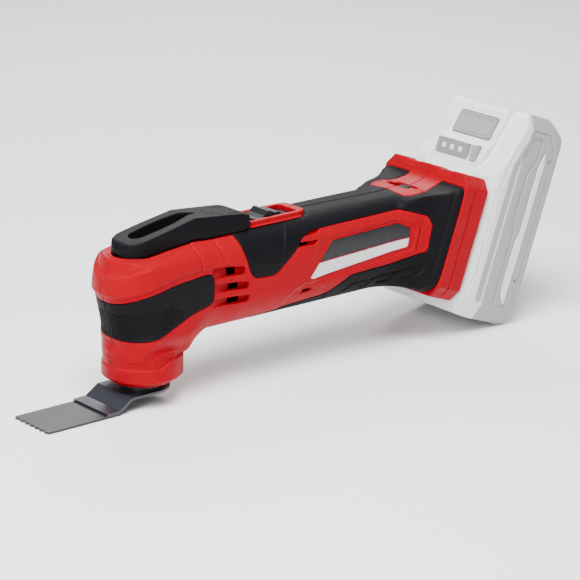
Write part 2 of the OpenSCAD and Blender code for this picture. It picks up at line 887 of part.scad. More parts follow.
module button_pocket(m) {
  along_y(-17 - m, 17 + m) polygon([
    [pack_n0 - 2, 203.4 - m], [pack_n0 + 22, 203.4 - m], [pack_n0 + 22, 218.4 + m],
    [pack_n0 - 2, 218.4 + m]]);
}

module side_cover_zone(m) {
  along_y(-50, 50) polygon([
    [pack_n0 + 16 - m, pack_t0 + 14], [pack_n0 + 21, pack_t0 + 8 - m], [pack_n0 + 46, pack_t0 + 8 - m],
    [pack_n0 + 50 + m, pack_t0 + 14], [pack_n0 + 50 + m, pack_t1 - 22],
    [pack_n0 + 42, pack_t1 - 10 + m], [pack_n0 + 27, pack_t1 - 10 + m], [pack_n0 + 16 - m, pack_t1 - 34]]);
}

split_n = 226;
pack_screw_spots = [[-33.4, 101], [33.4, 101], [-33.4, 214], [33.4, 214]];

module pack_solid() {
  difference() {
    union() {
      pack_hull(0);
      pack_bridge(0);
      pack_rails();
    }
    difference() {
      union() {
        pack_hull(2.2);
        pack_bridge(2.2);
      }
      for (p = pack_screw_spots) translate([0, p[0], p[1]]) rod_x(190, 270, 4);
      spring_seat();
    }
    for (y = [-12, 0, 12]) box([pack_n0 - 7.3, y - 0.8, 100], [pack_n0 - 1.2, y + 0.8, 128]);
    button_pocket(0.3);
    box([pack_n0 + 0.4, -9.4, 187.6], [pack_n0 + 3.4, 19.4, 198.2]);
    box([pack_n0 + 0.4, -17.4, 187.6], [pack_n0 + 12, -11.6, 198.2]);
    for (s = [-1, 1]) intersection() {
      side_cover_zone(lay);
      box([190, s < 0 ? -60 : 37.6, 60], [280, s < 0 ? -37.6 : 60, 260]);
    }
    for (p = pack_screw_spots) translate([0, p[0], p[1]]) {
      rod_x(split_n - 5, 270, 1.8);
      rod_x(pack_n1 - 22, 270, 3.1);
    }
  }
}

module pack_shell_front() {
  color(grey) tilted() intersection() {
    pack_solid();
    box([150, -60, 60], [split_n - seam, 60, 260]);
  }
}

module pack_shell_rear() {
  color(mid_grey) tilted() intersection() {
    pack_solid();
    box([split_n + seam, -60, 60], [300, 60, 260]);
  }
}

module pack_side_covers() {
  color(mid_grey) tilted() for (s = [-1, 1]) intersection() {
    side_cover_zone(0);
    box([190, s < 0 ? -39 : 37.7, 60], [280, s < 0 ? -37.7 : 39, 260]);
  }
}

module pack_screws() {
  color(steel) tilted() for (p = pack_screw_spots) translate([0, p[0], p[1]]) {
    rod_x(split_n - 4.5, pack_n1 - 21.98, 1.7);
    rod_x(pack_n1 - 21.98, pack_n1 - 19, 2.9);
  }
}

module pack_button() {
  color(mid_grey) tilted() {
    intersection() {
      button_pocket(0);
      along_y(-20, 20) polygon([
        [pack_n0 + 8.4, 203], [pack_n0 + 12.6, 219], [pack_n0 + 17.6, 219], [pack_n0 + 17.6, 203]]);
    }
    // ribs for the finger
    for (i = [0 : 8]) box([pack_n0 + 9.6, -14.4 + 3.4 * i, 206], [pack_n0 + 14, -12.8 + 3.4 * i, 212]);
  }
}

// A round wire of radius w wound round the X axis, from x = 0 to the length
module coil(length, r, w, turns) {
  sides = 6;
  n = 14 * turns;
  rings = [for (i = [0 : n], k = [0 : sides - 1])
    let (a = 360 * turns * i / n, p = 360 * k / sides, q = r + w * cos(p))
      [w + (length - 2 * w) * i / n + w * sin(p), q * cos(a), q * sin(a)]];
  walls = [for (i = [0 : n - 1], k = [0 : sides - 1])
    [i * sides + k, i * sides + (k + 1) % sides, (i + 1) * sides + (k + 1) % sides, (i + 1) * sides + k]];
  polyhedron(rings, concat(
    walls, [[for (k = [sides - 1 : -1 : 0]) k]], [[for (k = [0 : sides - 1]) n * sides + k]]));
}

module button_spring() {
  color(steel) tilted() for (y = [-9, 9]) translate([pack_n0 + 17.7, y, 211]) coil(10.2, 3, 0.35, 6);
}

module gauge_window() {
  color([0.35, 0.36, 0.38]) tilted() box([pack_n0 + 1.6, -9.2, 187.8], [pack_n0 + 3.3, 19.2, 198]);
}

module gauge_button() {
  color(mid_grey) tilted() box([pack_n0 + 1.4, -17.2, 187.8], [pack_n0 + 8, -11.8, 198]);
}

module pack_terminals() {
  color(copper) tilted() for (y = [-12, 0, 12], s = [-1, 1]) {
    box([pack_n0 - 6.6, y + (s < 0 ? -0.75 : 0.45), 108], [pack_n0 - 2, y + (s < 0 ? -0.45 : 0.75), 122]);
  }
}

cell_r = 9.1;

module cell_places() {
  for (i = [0 : 4], k = [0 : 1]) translate([pack_n0 + 27 + 19 * k, 0, pack_t0 + 30 + 19.2 * i]) children();
}

module battery_cells() {
  color([0.2, 0.45, 0.3]) tilted() cell_places() rod_y(-32.5, 32.5, cell_r);
}

module cell_frame() {
  color(black) tilted() difference() {
    for (y = [-28, 24]) box([pack_n0 + 21, y, pack_t0 + 25], [pack_n0 + 52, y + 4, pack_t0 + 111.8]);
    cell_places() rod_y(-40, 40, cell_r + lay);
  }
}

module cell_straps() {
  color(steel) tilted() for (s = [-1, 1], i = [0 : 4]) {
    box([pack_n0 + 23, s < 0 ? -32.9 : 32.55, pack_t0 + 27 + 19.2 * i],
        [pack_n0 + 50, s < 0 ? -32.55 : 32.9, pack_t0 + 33 + 19.2 * i]);
  }
}

module pack_board() {
  color(board_green) tilted() box([pack_n0 + 3.4, -18, 116], [pack_n0 + 5, 18, 178]);
}

housing_left();
housing_right();
head_grip_left();
head_grip_right();
handle_grip_left();
handle_grip_right();
name_plate_left();
name_plate_right();
housing_screws();
release_lever();
lever_pin();
lever_bracket();
release_plunger();
clamp_bolt();
clamp_nut();
disc_springs();
spindle();
drive_fork();
output_flange();
dust_seal();
lower_bearing();
upper_bearing();
bearing_clip();
gear_case();
blade_arm();
saw_blade();
rotor_shaft();
armature();
commutator();
cooling_fan();
eccentric_sleeve();
eccentric_bearing();
front_bearing();
rear_bearing();
motor_can();
motor_end_cap();
carbon_brushes();
switch_slider();
switch_cover();
switch_rod();
switch_module();
speed_dial();
dial_potentiometer();
control_board();
battery_dock();
dock_contacts();
motor_leads();
pack_shell_front();
pack_shell_rear();
pack_side_covers();
pack_screws();
pack_button();
button_spring();
gauge_window();
gauge_button();
pack_terminals();
battery_cells();
cell_frame();
cell_straps();
pack_board();
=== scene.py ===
import json
import math

import bpy
import numpy as np
from mathutils import Matrix, Vector


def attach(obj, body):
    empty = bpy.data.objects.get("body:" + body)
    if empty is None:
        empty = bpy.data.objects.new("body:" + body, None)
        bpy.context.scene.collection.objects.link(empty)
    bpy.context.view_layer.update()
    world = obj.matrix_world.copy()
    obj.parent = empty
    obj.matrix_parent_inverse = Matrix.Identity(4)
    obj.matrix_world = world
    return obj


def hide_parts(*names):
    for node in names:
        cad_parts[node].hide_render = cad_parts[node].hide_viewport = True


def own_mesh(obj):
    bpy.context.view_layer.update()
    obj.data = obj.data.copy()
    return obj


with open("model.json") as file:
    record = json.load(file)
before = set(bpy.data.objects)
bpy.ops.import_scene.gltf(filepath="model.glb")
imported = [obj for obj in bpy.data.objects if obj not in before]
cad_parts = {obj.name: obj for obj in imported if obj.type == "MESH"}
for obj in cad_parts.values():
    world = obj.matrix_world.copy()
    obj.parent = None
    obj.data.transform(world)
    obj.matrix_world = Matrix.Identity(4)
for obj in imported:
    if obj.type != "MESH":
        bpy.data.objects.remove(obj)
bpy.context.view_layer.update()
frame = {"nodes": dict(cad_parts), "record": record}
nodes = frame["nodes"]

# Shapes are worked out in millimetres in the row frame: origin on the spindle axis at ground
# level, +X to the rear, +Z up. The foot and the pack lean back in a frame of their own, where n
# points to the rear and t up along the pack.
MM = 0.001
TILT = math.radians(19.5)
BODY_W = 26.8  # half the width of the barrel
BODY_Z = 67.7  # height of the barrel's axis
BODY_H = 29.8  # half the height of the barrel
WALL = 3.0
GRIP_T = 1.4
FOOT_W = 38.5  # half the width of the foot
FOOT_T = 138.5  # middle of the foot's face
FOOT_N0 = 182.0  # front edge of the foot's red part
PACK_N0 = 202.0
PACK_N1 = 260.0
REST_N = 252.0  # where the pack's rear corner touches the ground
PACK_T0 = REST_N * math.tan(TILT)
PACK_T1 = PACK_T0 + 138.0
PACK_SPLIT = 226.0  # joint between the pack's two shells
DIAL_X = 208.5
SEAM = 0.05
NOSE_X = BODY_W - 31.1  # middle of the round nose


# ---------------------------------------------------------------- fields

def poly_sd(points, u, v):
    """Distance from (u, v) to a closed outline, negative inside."""
    p = np.asarray(points, float)
    shape = np.broadcast(u, v).shape
    d2 = np.full(shape, 1e12)
    inside = np.zeros(shape, bool)
    for a, b in zip(p, np.roll(p, -1, 0)):
        e = b - a
        wu, wv = u - a[0], v - a[1]
        s = np.clip((wu * e[0] + wv * e[1]) / (e @ e), 0, 1)
        d2 = np.minimum(d2, (wu - e[0] * s) ** 2 + (wv - e[1] * s) ** 2)
        if e[1] != 0:
            inside ^= ((a[1] > v) != (b[1] > v)) & (u < a[0] + wv * e[0] / e[1])
    return np.where(inside, -1, 1) * np.sqrt(d2)


def line_d(points, u, v):
    """Distance from (u, v) to an open line."""
    p = np.asarray(points, float)
    d2 = np.full(np.broadcast(u, v).shape, 1e12)
    for a, b in zip(p[:-1], p[1:]):
        e = b - a
        wu, wv = u - a[0], v - a[1]
        s = np.clip((wu * e[0] + wv * e[1]) / (e @ e), 0, 1)
        d2 = np.minimum(d2, (wu - e[0] * s) ** 2 + (wv - e[1] * s) ** 2)
    return np.sqrt(d2)


def soften(a, cells):
    """Rounds the corners of a flat field."""
    r = int(3 * cells) + 1
    k = np.exp(-0.5 * (np.arange(-r, r + 1) / cells) ** 2)
    k /= k.sum()
    for axis in (0, 1):
        n = a.shape[axis]
        pad = np.pad(a, [(r, r) if i == axis else (0, 0) for i in (0, 1)], mode="reflect",
                     reflect_type="odd")
        a = sum(w * np.take(pad, np.arange(j, j + n), axis) for j, w in enumerate(k))
    return a


def smax(a, b, k):
    """The larger of two fields: what both solids share, with its inner edge rounded over k."""
    h = np.maximum(k - np.abs(a - b), 0)
    return np.maximum(a, b) + h * h * (0.25 / k)


def smin(a, b, k):
    """The smaller of two fields: two solids joined with a fillet."""
    return -smax(-a, -b, k)


def step01(x, a, b):
    """Rises smoothly from 0 at a to 1 at b."""
    t = np.clip((x - a) / (b - a), 0, 1)
    return t * t * (3 - 2 * t)


def groove(d, width, depth):
    """How far a surface sinks at distance d from the middle of a groove."""
    return depth * np.exp(-((2 * d / width) ** 2))


class Space:
    """A box of points; flat outlines are drawn on its three planes."""

    def __init__(self, *axes):
        self.ax = [np.concatenate([np.arange(p, q, h) for p, q, h in zip(a[0::2], a[2::2], a[1::2])] +
                                  [[a[-1]]]) for a in axes]
        self.x = self.ax[0][:, None, None].astype(np.float32)
        self.y = self.ax[1][None, :, None].astype(np.float32)
        self.z = self.ax[2][None, None, :].astype(np.float32)
        self.n2 = self.ax[0][:, None] * math.cos(TILT) - self.ax[2][None, :] * math.sin(TILT)
        self.t2 = self.ax[0][:, None] * math.sin(TILT) + self.ax[2][None, :] * math.cos(TILT)
        self.n = self.n2[:, None, :].astype(np.float32)
        self.t = self.t2[:, None, :].astype(np.float32)

    def flat(self, fn, i, j, soft, fine=0.4):
        """A field on plane (i, j); its corners are rounded by soft."""
        if not soft:
            return fn(self.ax[i][:, None], self.ax[j][None, :])
        grid = [np.arange(self.ax[k][0] - 2 * fine, self.ax[k][-1] + 3 * fine, fine) for k in (i, j)]
        d = soften(fn(grid[0][:, None], grid[1][None, :]), soft / fine)
        for axis, k in ((0, i), (1, j)):
            f = (self.ax[k] - grid[axis][0]) / fine
            low = np.clip(f.astype(int), 0, len(grid[axis]) - 2)
            w = (f - low).reshape((-1, 1) if axis == 0 else (1, -1))
            d = np.take(d, low, axis) * (1 - w) + np.take(d, low + 1, axis) * w
        return d

    def xz(self, points, soft=0.0, shape=poly_sd):
        d = self.flat(lambda u, v: shape(points, u, v), 0, 2, soft)
        return d[:, None, :].astype(np.float32)

    def xy(self, points, soft=0.0, shape=poly_sd):
        d = self.flat(lambda u, v: shape(points, u, v), 0, 1, soft)
        return d[:, :, None].astype(np.float32)

    def yz(self, points, soft=0.0, shape=poly_sd):
        d = self.flat(lambda u, v: shape(points, u, v), 1, 2, soft)
        return d[None, :, :].astype(np.float32)

    def along(self, coordinate, fn, lo, hi, soft=0.0, fine=0.5):
        """A field of (coordinate, y), where coordinate is a flat XZ field."""
        c = np.arange(lo, hi, fine)
        d = fn(c[:, None], self.ax[1][None, :])
        if soft:
            d = soften(d, soft / fine)
        f = np.clip((coordinate - lo) / fine, 0, len(c) - 1.001)
        i = f.astype(int)
        w = (f - i)[..., None]
        out = d[i] * (1 - w) + d[i + 1] * w
        return out.transpose(0, 2, 1).astype(np.float32)

    def box(self, lo, hi, r=0.0):
        """A box with rounded edges."""
        q = [np.abs(c - (a + b) / 2) - ((b - a) / 2 - r) for c, a, b in
             zip((self.x, self.y, self.z), lo, hi)]
        outside = np.sqrt(sum(np.maximum(v, 0) ** 2 for v in q))
        return outside + np.minimum(np.maximum(np.maximum(q[0], q[1]), q[2]), 0) - r

    def place(self, cells):
        """Cell coordinates to millimetres."""
        return np.stack([np.interp(cells[:, k], np.arange(len(a)), a)
                         for k, a in enumerate(self.ax)], 1)


def superellipse(a, b, power):
    """A flat field round a squarish oval with half-axes a and b."""
    def field(u, v):
        f = (np.abs(u / a) ** power + np.abs(v / b) ** power) ** (1 / power)
        return (f - 1) * np.sqrt(u * u + v * v) / np.maximum(f, 1e-3)
    return field


# ---------------------------------------------------------------- meshes

CORNERS = [(i, j, k) for i in (0, 1) for j in (0, 1) for k in (0, 1)]
EDGES = [(a, b) for a in range(8) for b in range(a + 1, 8)
         if sum(abs(p - q) for p, q in zip(CORNERS[a], CORNERS[b])) == 1]


def surface(space, field):
    """Meshes where a field is zero, with one corner in each cell that the surface crosses."""
    field = np.broadcast_to(field, [len(a) for a in space.ax]).astype(np.float32)
    field = np.where(np.abs(field) < 1e-4, 1e-4, field)
    neg = field < 0
    n = [s - 1 for s in field.shape]
    count = np.zeros(n, np.int8)
    for i, j, k in CORNERS:
        count += neg[i:n[0] + i, j:n[1] + j, k:n[2] + k]
    active = (count > 0) & (count < 8)
    index = np.full(n, -1, np.int64)
    cells = np.argwhere(active)
    index[active] = np.arange(len(cells))
    vals = np.stack([field[cells[:, 0] + i, cells[:, 1] + j, cells[:, 2] + k]
                     for i, j, k in CORNERS], 1)
    total = np.zeros((len(cells), 3))
    hits = np.zeros(len(cells))
    for a, b in EDGES:
        va, vb = vals[:, a], vals[:, b]
        cross = (va < 0) != (vb < 0)
        t = np.where(cross, va / np.where(cross, va - vb, 1), 0)
        p = np.array(CORNERS[a])[None] + t[:, None] * (np.array(CORNERS[b]) - np.array(CORNERS[a]))[None]
        total += p * cross[:, None]
        hits += cross
    verts = cells + total / hits[:, None]
    faces = []
    for axis in range(3):
        u, v = [a for a in range(3) if a != axis]
        lo = [slice(1, None)] * 3
        lo[axis] = slice(0, -1)
        hi = [slice(1, None)] * 3
        lo[u] = hi[u] = slice(1, -1)
        lo[v] = hi[v] = slice(1, -1)
        hi[axis] = slice(1, None)
        a, b = neg[tuple(lo)], neg[tuple(hi)]
        where = np.argwhere(a != b)
        flip = b[tuple(where.T)]
        base = where.copy()
        base[:, u] += 1
        base[:, v] += 1
        quad = []
        for du, dv in ((1, 1), (0, 1), (0, 0), (1, 0)):
            c = base.copy()
            c[:, u] -= du
            c[:, v] -= dv
            quad.append(index[tuple(c.T)])
        q = np.stack(quad, 1)
        turn = flip if axis == 1 else ~flip
        q[turn] = q[turn][:, ::-1]
        faces.append(q[:, ::-1])
    faces = np.concatenate(faces)
    faces = faces[(faces >= 0).all(1)]
    return space.place(verts), faces


def tilt_points(v):
    """From the tilted frame to the row frame."""
    c, s = math.cos(TILT), math.sin(TILT)
    return np.stack([v[:, 0] * c + v[:, 2] * s, v[:, 1], v[:, 2] * c - v[:, 0] * s], 1)


def piece(name, verts, faces, material, body, replaced=(), ratio=1.0):
    """Adds a visible piece; verts are in millimetres."""
    me = bpy.data.meshes.new(name)
    verts = np.ascontiguousarray(verts * MM, np.float32)
    n = faces.shape[1]
    me.vertices.add(len(verts))
    me.vertices.foreach_set("co", verts.ravel())
    me.loops.add(faces.size)
    me.loops.foreach_set("vertex_index", np.ascontiguousarray(faces, np.int32).ravel())
    me.polygons.add(len(faces))
    me.polygons.foreach_set("loop_start", np.arange(0, faces.size, n, dtype=np.int32))
    me.polygons.foreach_set("loop_total", np.full(len(faces), n, np.int32))
    me.update(calc_edges=True)
    me.validate()
    me.polygons.foreach_set("use_smooth", np.ones(len(me.polygons), bool))
    ob = bpy.data.objects.new(name, me)
    bpy.context.scene.collection.objects.link(ob)
    if ratio < 1:
        mod = ob.modifiers.new("thin", "DECIMATE")
        mod.ratio = ratio
    me.materials.append(material)
    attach(ob, body)
    if replaced:
        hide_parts(*replaced)
    return ob


def mirrored(verts, faces):
    """The other side's mesh."""
    return verts * np.array([1, -1, 1]), faces[:, ::-1]


def with_mirror(verts, faces):
    """A mesh and its mirror image as one mesh."""
    other_verts, other_faces = mirrored(verts, faces)
    return np.concatenate([verts, other_verts]), np.concatenate([faces, other_faces + len(verts)])


# ---------------------------------------------------------------- materials

def material(name, color, rough, metal=0.0, grain=0.35, bump=0.15, vary=0.06, blotch=25.0,
             rough_vary=0.06, brushed=None, coat=0.0, worn=0.0, spec=0.5, tint=(1, 1, 1)):
    """A finish with fine grain, slow colour changes and worn edges. grain and blotch are in mm."""
    m = bpy.data.materials.new(name)
    m.use_nodes = True
    nt = m.node_tree
    n, link = nt.nodes, nt.links.new
    bsdf = n["Principled BSDF"]
    bsdf.inputs["Metallic"].default_value = metal
    bsdf.inputs["Coat Weight"].default_value = coat
    bsdf.inputs["Coat Roughness"].default_value = 0.12
    bsdf.inputs["Specular IOR Level"].default_value = spec
    bsdf.inputs["Specular Tint"].default_value = tint + (1,)
    coord = n.new("ShaderNodeTexCoord")
    stretch = n.new("ShaderNodeMapping")
    stretch.inputs["Scale"].default_value = brushed or (1, 1, 1)
    link(coord.outputs["Object"], stretch.inputs["Vector"])

    def noise(scale_mm, detail, vector):
        t = n.new("ShaderNodeTexNoise")
        t.inputs["Scale"].default_value = 1000.0 / scale_mm
        t.inputs["Detail"].default_value = detail
        t.inputs["Roughness"].default_value = 0.6
        link(vector, t.inputs["Vector"])
        return t

    slow = noise(blotch, 3, coord.outputs["Object"])
    fine = noise(grain, 2, stretch.outputs["Vector"])
    mix = n.new("ShaderNodeMix")
    mix.data_type = "RGBA"
    mix.inputs["A"].default_value = [c * (1 - vary) for c in color] + [1]
    mix.inputs["B"].default_value = [min(1, c * (1 + vary) + 0.004 * vary) for c in color] + [1]
    link(slow.outputs["Fac"], mix.inputs["Factor"])
    grit = n.new("ShaderNodeMix")
    grit.data_type = "RGBA"
    grit.blend_type = "MULTIPLY"
    link(mix.outputs["Result"], grit.inputs["A"])
    ramp = n.new("ShaderNodeValToRGB")
    ramp.color_ramp.elements[0].position = 0.3
    ramp.color_ramp.elements[0].color = (1 - 2 * vary, 1 - 2 * vary, 1 - 2 * vary, 1)
    ramp.color_ramp.elements[1].position = 0.7
    link(fine.outputs["Fac"], ramp.inputs["Fac"])
    link(ramp.outputs["Color"], grit.inputs["B"])
    grit.inputs["Factor"].default_value = 0.8
    color_out = grit.outputs["Result"]
    if worn:
        geo = n.new("ShaderNodeNewGeometry")
        edge = n.new("ShaderNodeMapRange")
        edge.inputs["From Min"].default_value = 0.53
        edge.inputs["From Max"].default_value = 0.62
        edge.inputs["To Max"].default_value = worn
        link(geo.outputs["Pointiness"], edge.inputs["Value"])
        wear = n.new("ShaderNodeMix")
        wear.data_type = "RGBA"
        link(edge.outputs["Result"], wear.inputs["Factor"])
        link(color_out, wear.inputs["A"])
        wear.inputs["B"].default_value = [min(1, c * 1.5 + 0.012) for c in color] + [1]
        color_out = wear.outputs["Result"]
    link(color_out, bsdf.inputs["Base Color"])
    r = n.new("ShaderNodeMapRange")
    r.inputs["To Min"].default_value = max(0.02, rough - rough_vary)
    r.inputs["To Max"].default_value = min(1, rough + rough_vary)
    link(slow.outputs["Fac"], r.inputs["Value"])
    link(r.outputs["Result"], bsdf.inputs["Roughness"])
    b = n.new("ShaderNodeBump")
    b.inputs["Strength"].default_value = bump
    b.inputs["Distance"].default_value = 0.0002
    link(fine.outputs["Fac"], b.inputs["Height"])
    link(b.outputs["Normal"], bsdf.inputs["Normal"])
    return m


RED = material("red_plastic", (0.31, 0.0002, 0.007), 0.45, grain=0.45, bump=0.2, worn=0.12, spec=0.16,
               tint=(1, 0.01, 0.09))
GRIP = material("soft_grip", (0.0036, 0.0035, 0.0050), 0.58, spec=0.09, grain=0.35, bump=0.45,
                vary=0.12, worn=0.15)
LEVER = material("lever_plastic", (0.0042, 0.0041, 0.0056), 0.52, spec=0.08, grain=0.4, bump=0.3,
                 vary=0.1, worn=0.2)
BLACK = material("black_plastic", (0.008, 0.008, 0.009), 0.5, spec=0.2, grain=0.4, bump=0.25, worn=0.15)
SLIDER = material("slider_plastic", (0.008, 0.008, 0.010), 0.45, spec=0.2, grain=0.4, bump=0.3, worn=0.2)
PLATE_DARK = material("plate_dark", (0.030, 0.029, 0.033), 0.40, metal=0.3, spec=0.25, grain=0.5, bump=0.3,
                      brushed=(1, 1, 0.06), vary=0.25)
PLATE_SILVER = material("plate_silver", (0.66, 0.66, 0.68), 0.34, metal=0.2, grain=0.5, bump=0.25,
                        brushed=(1, 1, 0.06), vary=0.08)
STEEL = material("ground_steel", (0.50, 0.50, 0.52), 0.30, metal=1, grain=0.3, bump=0.2, worn=0.2)
SCREW = material("screw_steel", (0.42, 0.42, 0.44), 0.35, metal=1, grain=0.4, bump=0.25, worn=0.3)
SPRING = material("spring_steel", (0.36, 0.36, 0.39), 0.35, metal=1, grain=0.3, bump=0.15)
DARK_STEEL = material("dark_steel", (0.050, 0.050, 0.055), 0.42, metal=0.85, grain=0.4, bump=0.3,
                      worn=0.5, vary=0.2)
ARM = material("arm_coating", (0.014, 0.015, 0.024), 0.3, metal=0.1, spec=0.35, grain=0.6, bump=0.06,
               coat=0.5, worn=0.35, vary=0.15)
BLADE = material("blade_steel", (0.030, 0.030, 0.033), 0.38, metal=0.6, grain=0.35, bump=0.3,
                 brushed=(0.05, 1, 1), vary=0.2, worn=0.5)
CAST = material("cast_aluminium", (0.45, 0.46, 0.48), 0.55, metal=0.9, grain=0.8, bump=0.6, vary=0.12)
SEAL = material("seal_rubber", (0.03, 0.03, 0.03), 0.7, grain=0.5, bump=0.4)
WINDING = material("armature", (0.20, 0.10, 0.06), 0.4, metal=0.6, grain=0.5, bump=0.6,
                   brushed=(1, 0.2, 0.2), vary=0.3)
COPPER = material("copper", (0.65, 0.30, 0.15), 0.32, metal=1, grain=0.4, bump=0.2, vary=0.15)
CARBON = material("carbon", (0.04, 0.04, 0.04), 0.75, grain=0.4, bump=0.5)
GREY = material("grey_plastic", (0.25, 0.25, 0.26), 0.5, grain=0.4, bump=0.2)
DIAL = material("dial_rubber", (0.008, 0.008, 0.009), 0.55, spec=0.2, grain=0.4, bump=0.4, worn=0.2)
BOARD = material("board_mask", (0.015, 0.10, 0.035), 0.35, grain=1.2, bump=0.3, vary=0.25)
BRASS = material("contact_brass", (0.72, 0.52, 0.18), 0.28, metal=1, grain=0.3, bump=0.1)
WIRE = material("wire_sleeve", (0.30, 0.02, 0.02), 0.5, grain=0.6, bump=0.1)
PACK = material("pack_light", (0.76, 0.765, 0.775), 0.42, spec=0.4, grain=0.45, bump=0.2,
                worn=0.3, vary=0.04)
PACK_DARK = material("pack_dark", (0.34, 0.345, 0.355), 0.45, spec=0.35, grain=0.45, bump=0.22,
                     worn=0.3, vary=0.05)
PACK_PART = material("pack_button", (0.25, 0.255, 0.265), 0.5, grain=0.4, bump=0.3, worn=0.3)
GAUGE = material("gauge_window", (0.24, 0.245, 0.255), 0.22, grain=0.8, bump=0.05, coat=0.3)
LAMP = material("gauge_lamps", (0.80, 0.80, 0.81), 0.3, grain=0.6, bump=0.08)
CELL = material("cell_sleeve", (0.05, 0.20, 0.09), 0.32, grain=1.0, bump=0.08, coat=0.3)
NICKEL = material("nickel", (0.62, 0.60, 0.56), 0.3, metal=1, grain=0.4, bump=0.2)

FINISH = {
    "red_shell": RED, "grip": GRIP, "name_plate": PLATE_DARK, "screw_steel": SCREW, "lever": LEVER,
    "steel": STEEL, "spring_steel": SPRING, "dark_steel": DARK_STEEL, "seal": SEAL,
    "cast_aluminium": CAST, "arm_paint": ARM, "blade_steel": BLADE, "armature": WINDING,
    "copper": COPPER, "black_plastic": BLACK, "carbon": CARBON, "slider": SLIDER,
    "grey_plastic": GREY, "dial": DIAL, "board": BOARD, "contact_brass": BRASS, "lead": WIRE,
    "pack_light": PACK, "pack_dark": PACK_DARK, "pack_button": PACK_PART, "gauge": GAUGE,
    "cell_wrap": CELL, "nickel": NICKEL,
}
for part in frame["record"]["subparts"]:
    node = nodes[part["node"]]
    node.data.materials.clear()
    node.data.materials.append(FINISH[part["material_slot"]])

# the springs shorten as the lever turns and as the button is pressed
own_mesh(nodes["disc_springs"])
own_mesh(nodes["button_spring"])


# ---------------------------------------------------------------- outlines of the body

BODY_SIDE = [(-21.7, 30), (-21.7, 40.3), (-23.1, 42.2), (-28.4, 65), (-31.1, 71.5), (-31.1, 79.4),
             (-30.2, 80.4), (-28.3, 83.3), (-26.8, 86.5), (-25.2, 89.2), (-22, 90.7), (-18.6, 91.3),
             (-4, 91.4), (30, 96.6), (60, 97.4), (117, 97.5), (206, 96.3), (206, 39), (60, 38.3),
             (33, 40.2), (22, 31)]
HEAD_HALF = [(19, 28), (21.5, 36), (25, 41.6), (27.2, 46), (27.2, 76), (26.6, 82), (25.2, 88),
             (22.8, 91.2), (17.5, 94), (12, 99)]
CAP = [(-44, 79.8), (-31.1, 79.9), (-29, 80.3), (-24.9, 82.3), (-17.7, 85.4), (-12, 87.7), (-5, 90),
       (4, 91.8), (15, 93.8), (24, 95.2), (24, 125), (-44, 125)]
NECK_SIDE = [(166, 50), (166, 86), (200, 96), (216, 96.6), (226, 98.6), (231.5, 103), (236, 109),
             (240, 120), (212, 24), (211, 29.5), (200, 34), (188, 38.4), (176, 42)]
NECK_PLAN = [(148, 22), (156, 25.6), (164, 27.6), (170, 30.2), (175, 33.6), (179, 36.8), (182, 37.8),
             (186, 37.8), (186, -37.8), (182, -37.8), (179, -36.8), (175, -33.6), (170, -30.2),
             (164, -27.6), (156, -25.6), (148, -22)]
FOOT_FACE = [(38.5, 106), (38.5, 171.5), (32.5, 179), (-32.5, 179), (-38.5, 171.5), (-38.5, 106),
             (-32, 98), (32, 98)]
COLLAR = [(-1, 12.6), (18.6, 12.6), (24.2, 16.6), (24.2, 24.4), (23.5, 24.8), (23.5, 34.6),
          (21.7, 38), (-1, 38)]
HEAD_ZONE = [(-40, 64.2), (-28, 64.8), (-22, 67.9), (-14.2, 71), (2.6, 75), (26, 77.5), (32, 77.4),
             (34.6, 74.6), (34.4, 61), (32.3, 58.6), (17.7, 55.2), (-8.4, 43.8), (-18.7, 42.4),
             (-40, 42.4)]
HANDLE_ZONE = [(56, 96.2), (58.6, 84), (61.5, 73.2), (64, 70), (67, 68.6), (80.5, 68.2), (84, 70.4),
               (97.6, 80.4), (104, 86.4), (112, 89.4), (186, 90.2), (205, 84), (207.5, 78),
               (203, 61.4), (175, 57.4), (143, 56.4), (123, 46), (96, 44), (70, 41), (70, 30),
               (215, 30), (240, 100), (205, 100.6), (116, 100.6), (114.5, 95.6), (60, 95.4)]
FLAP_INNER = [(62, 112), (64.4, 92.6), (68.4, 80.2), (72, 76.9), (82.4, 76.0), (85.6, 78.2),
              (92, 90), (95.4, 94.6), (100.5, 95.8), (118, 96.2), (121.5, 98.2), (119, 112)]
PLATE_ZONE = [(109.0, 60.4), (127.6, 80.8), (182, 82.2), (190.6, 78.4), (191.5, 76.6),
              (189.2, 66.2), (112, 59.6)]
PANEL_RIM = [(108, 72), (118, 83.4), (181, 85.2), (194.8, 80.9), (196.8, 77.2), (192.8, 63.6),
             (176, 61.4), (112, 55.4), (102, 57)]
SADDLE = [(195, 0), (193.2, 9.8), (193.7, 16.2), (198.4, 19.2), (204.1, 19.7), (210, 18.7),
          (218, 15.4), (226, 14.5), (245, 17), (245, -17), (226, -14.5), (218, -15.4),
          (210, -18.7), (204.1, -19.7), (198.4, -19.2), (193.7, -16.2), (193.2, -9.8)]
LEVER_PLAN = [(30, -14.2), (62, -15.2), (70, -14.4), (74.6, -9), (75.8, 0), (74.6, 9), (70, 14.4),
              (62, 15.2), (30, 14.2)]
LEVER_SIDE = [(-19.4, 95.8), (-19, 94.4), (-17.6, 93.1), (-13, 92.1), (-6, 91.5), (20, 94.5),
              (64, 95.2), (74, 96.4), (75.8, 98.4), (75.3, 101.9), (72.5, 103.9), (66.5, 105.8),
              (30.6, 108.9), (-15.6, 99.7), (-18.2, 98.2)]
LEVER_SECTION = [(15.9, 88), (15.9, 90), (15, 98), (12, 109.5), (12, 112), (-12, 112), (-12, 109.5),
                 (-15, 98), (-15.9, 90), (-15.9, 88)]
HINGE = (-9.0, 94.5)


def arc(cx, cy, r, a0, a1, n):
    return [(cx + r * math.cos(math.radians(a0 + (a1 - a0) * i / n)),
             cy + r * math.sin(math.radians(a0 + (a1 - a0) * i / n))) for i in range(n + 1)]


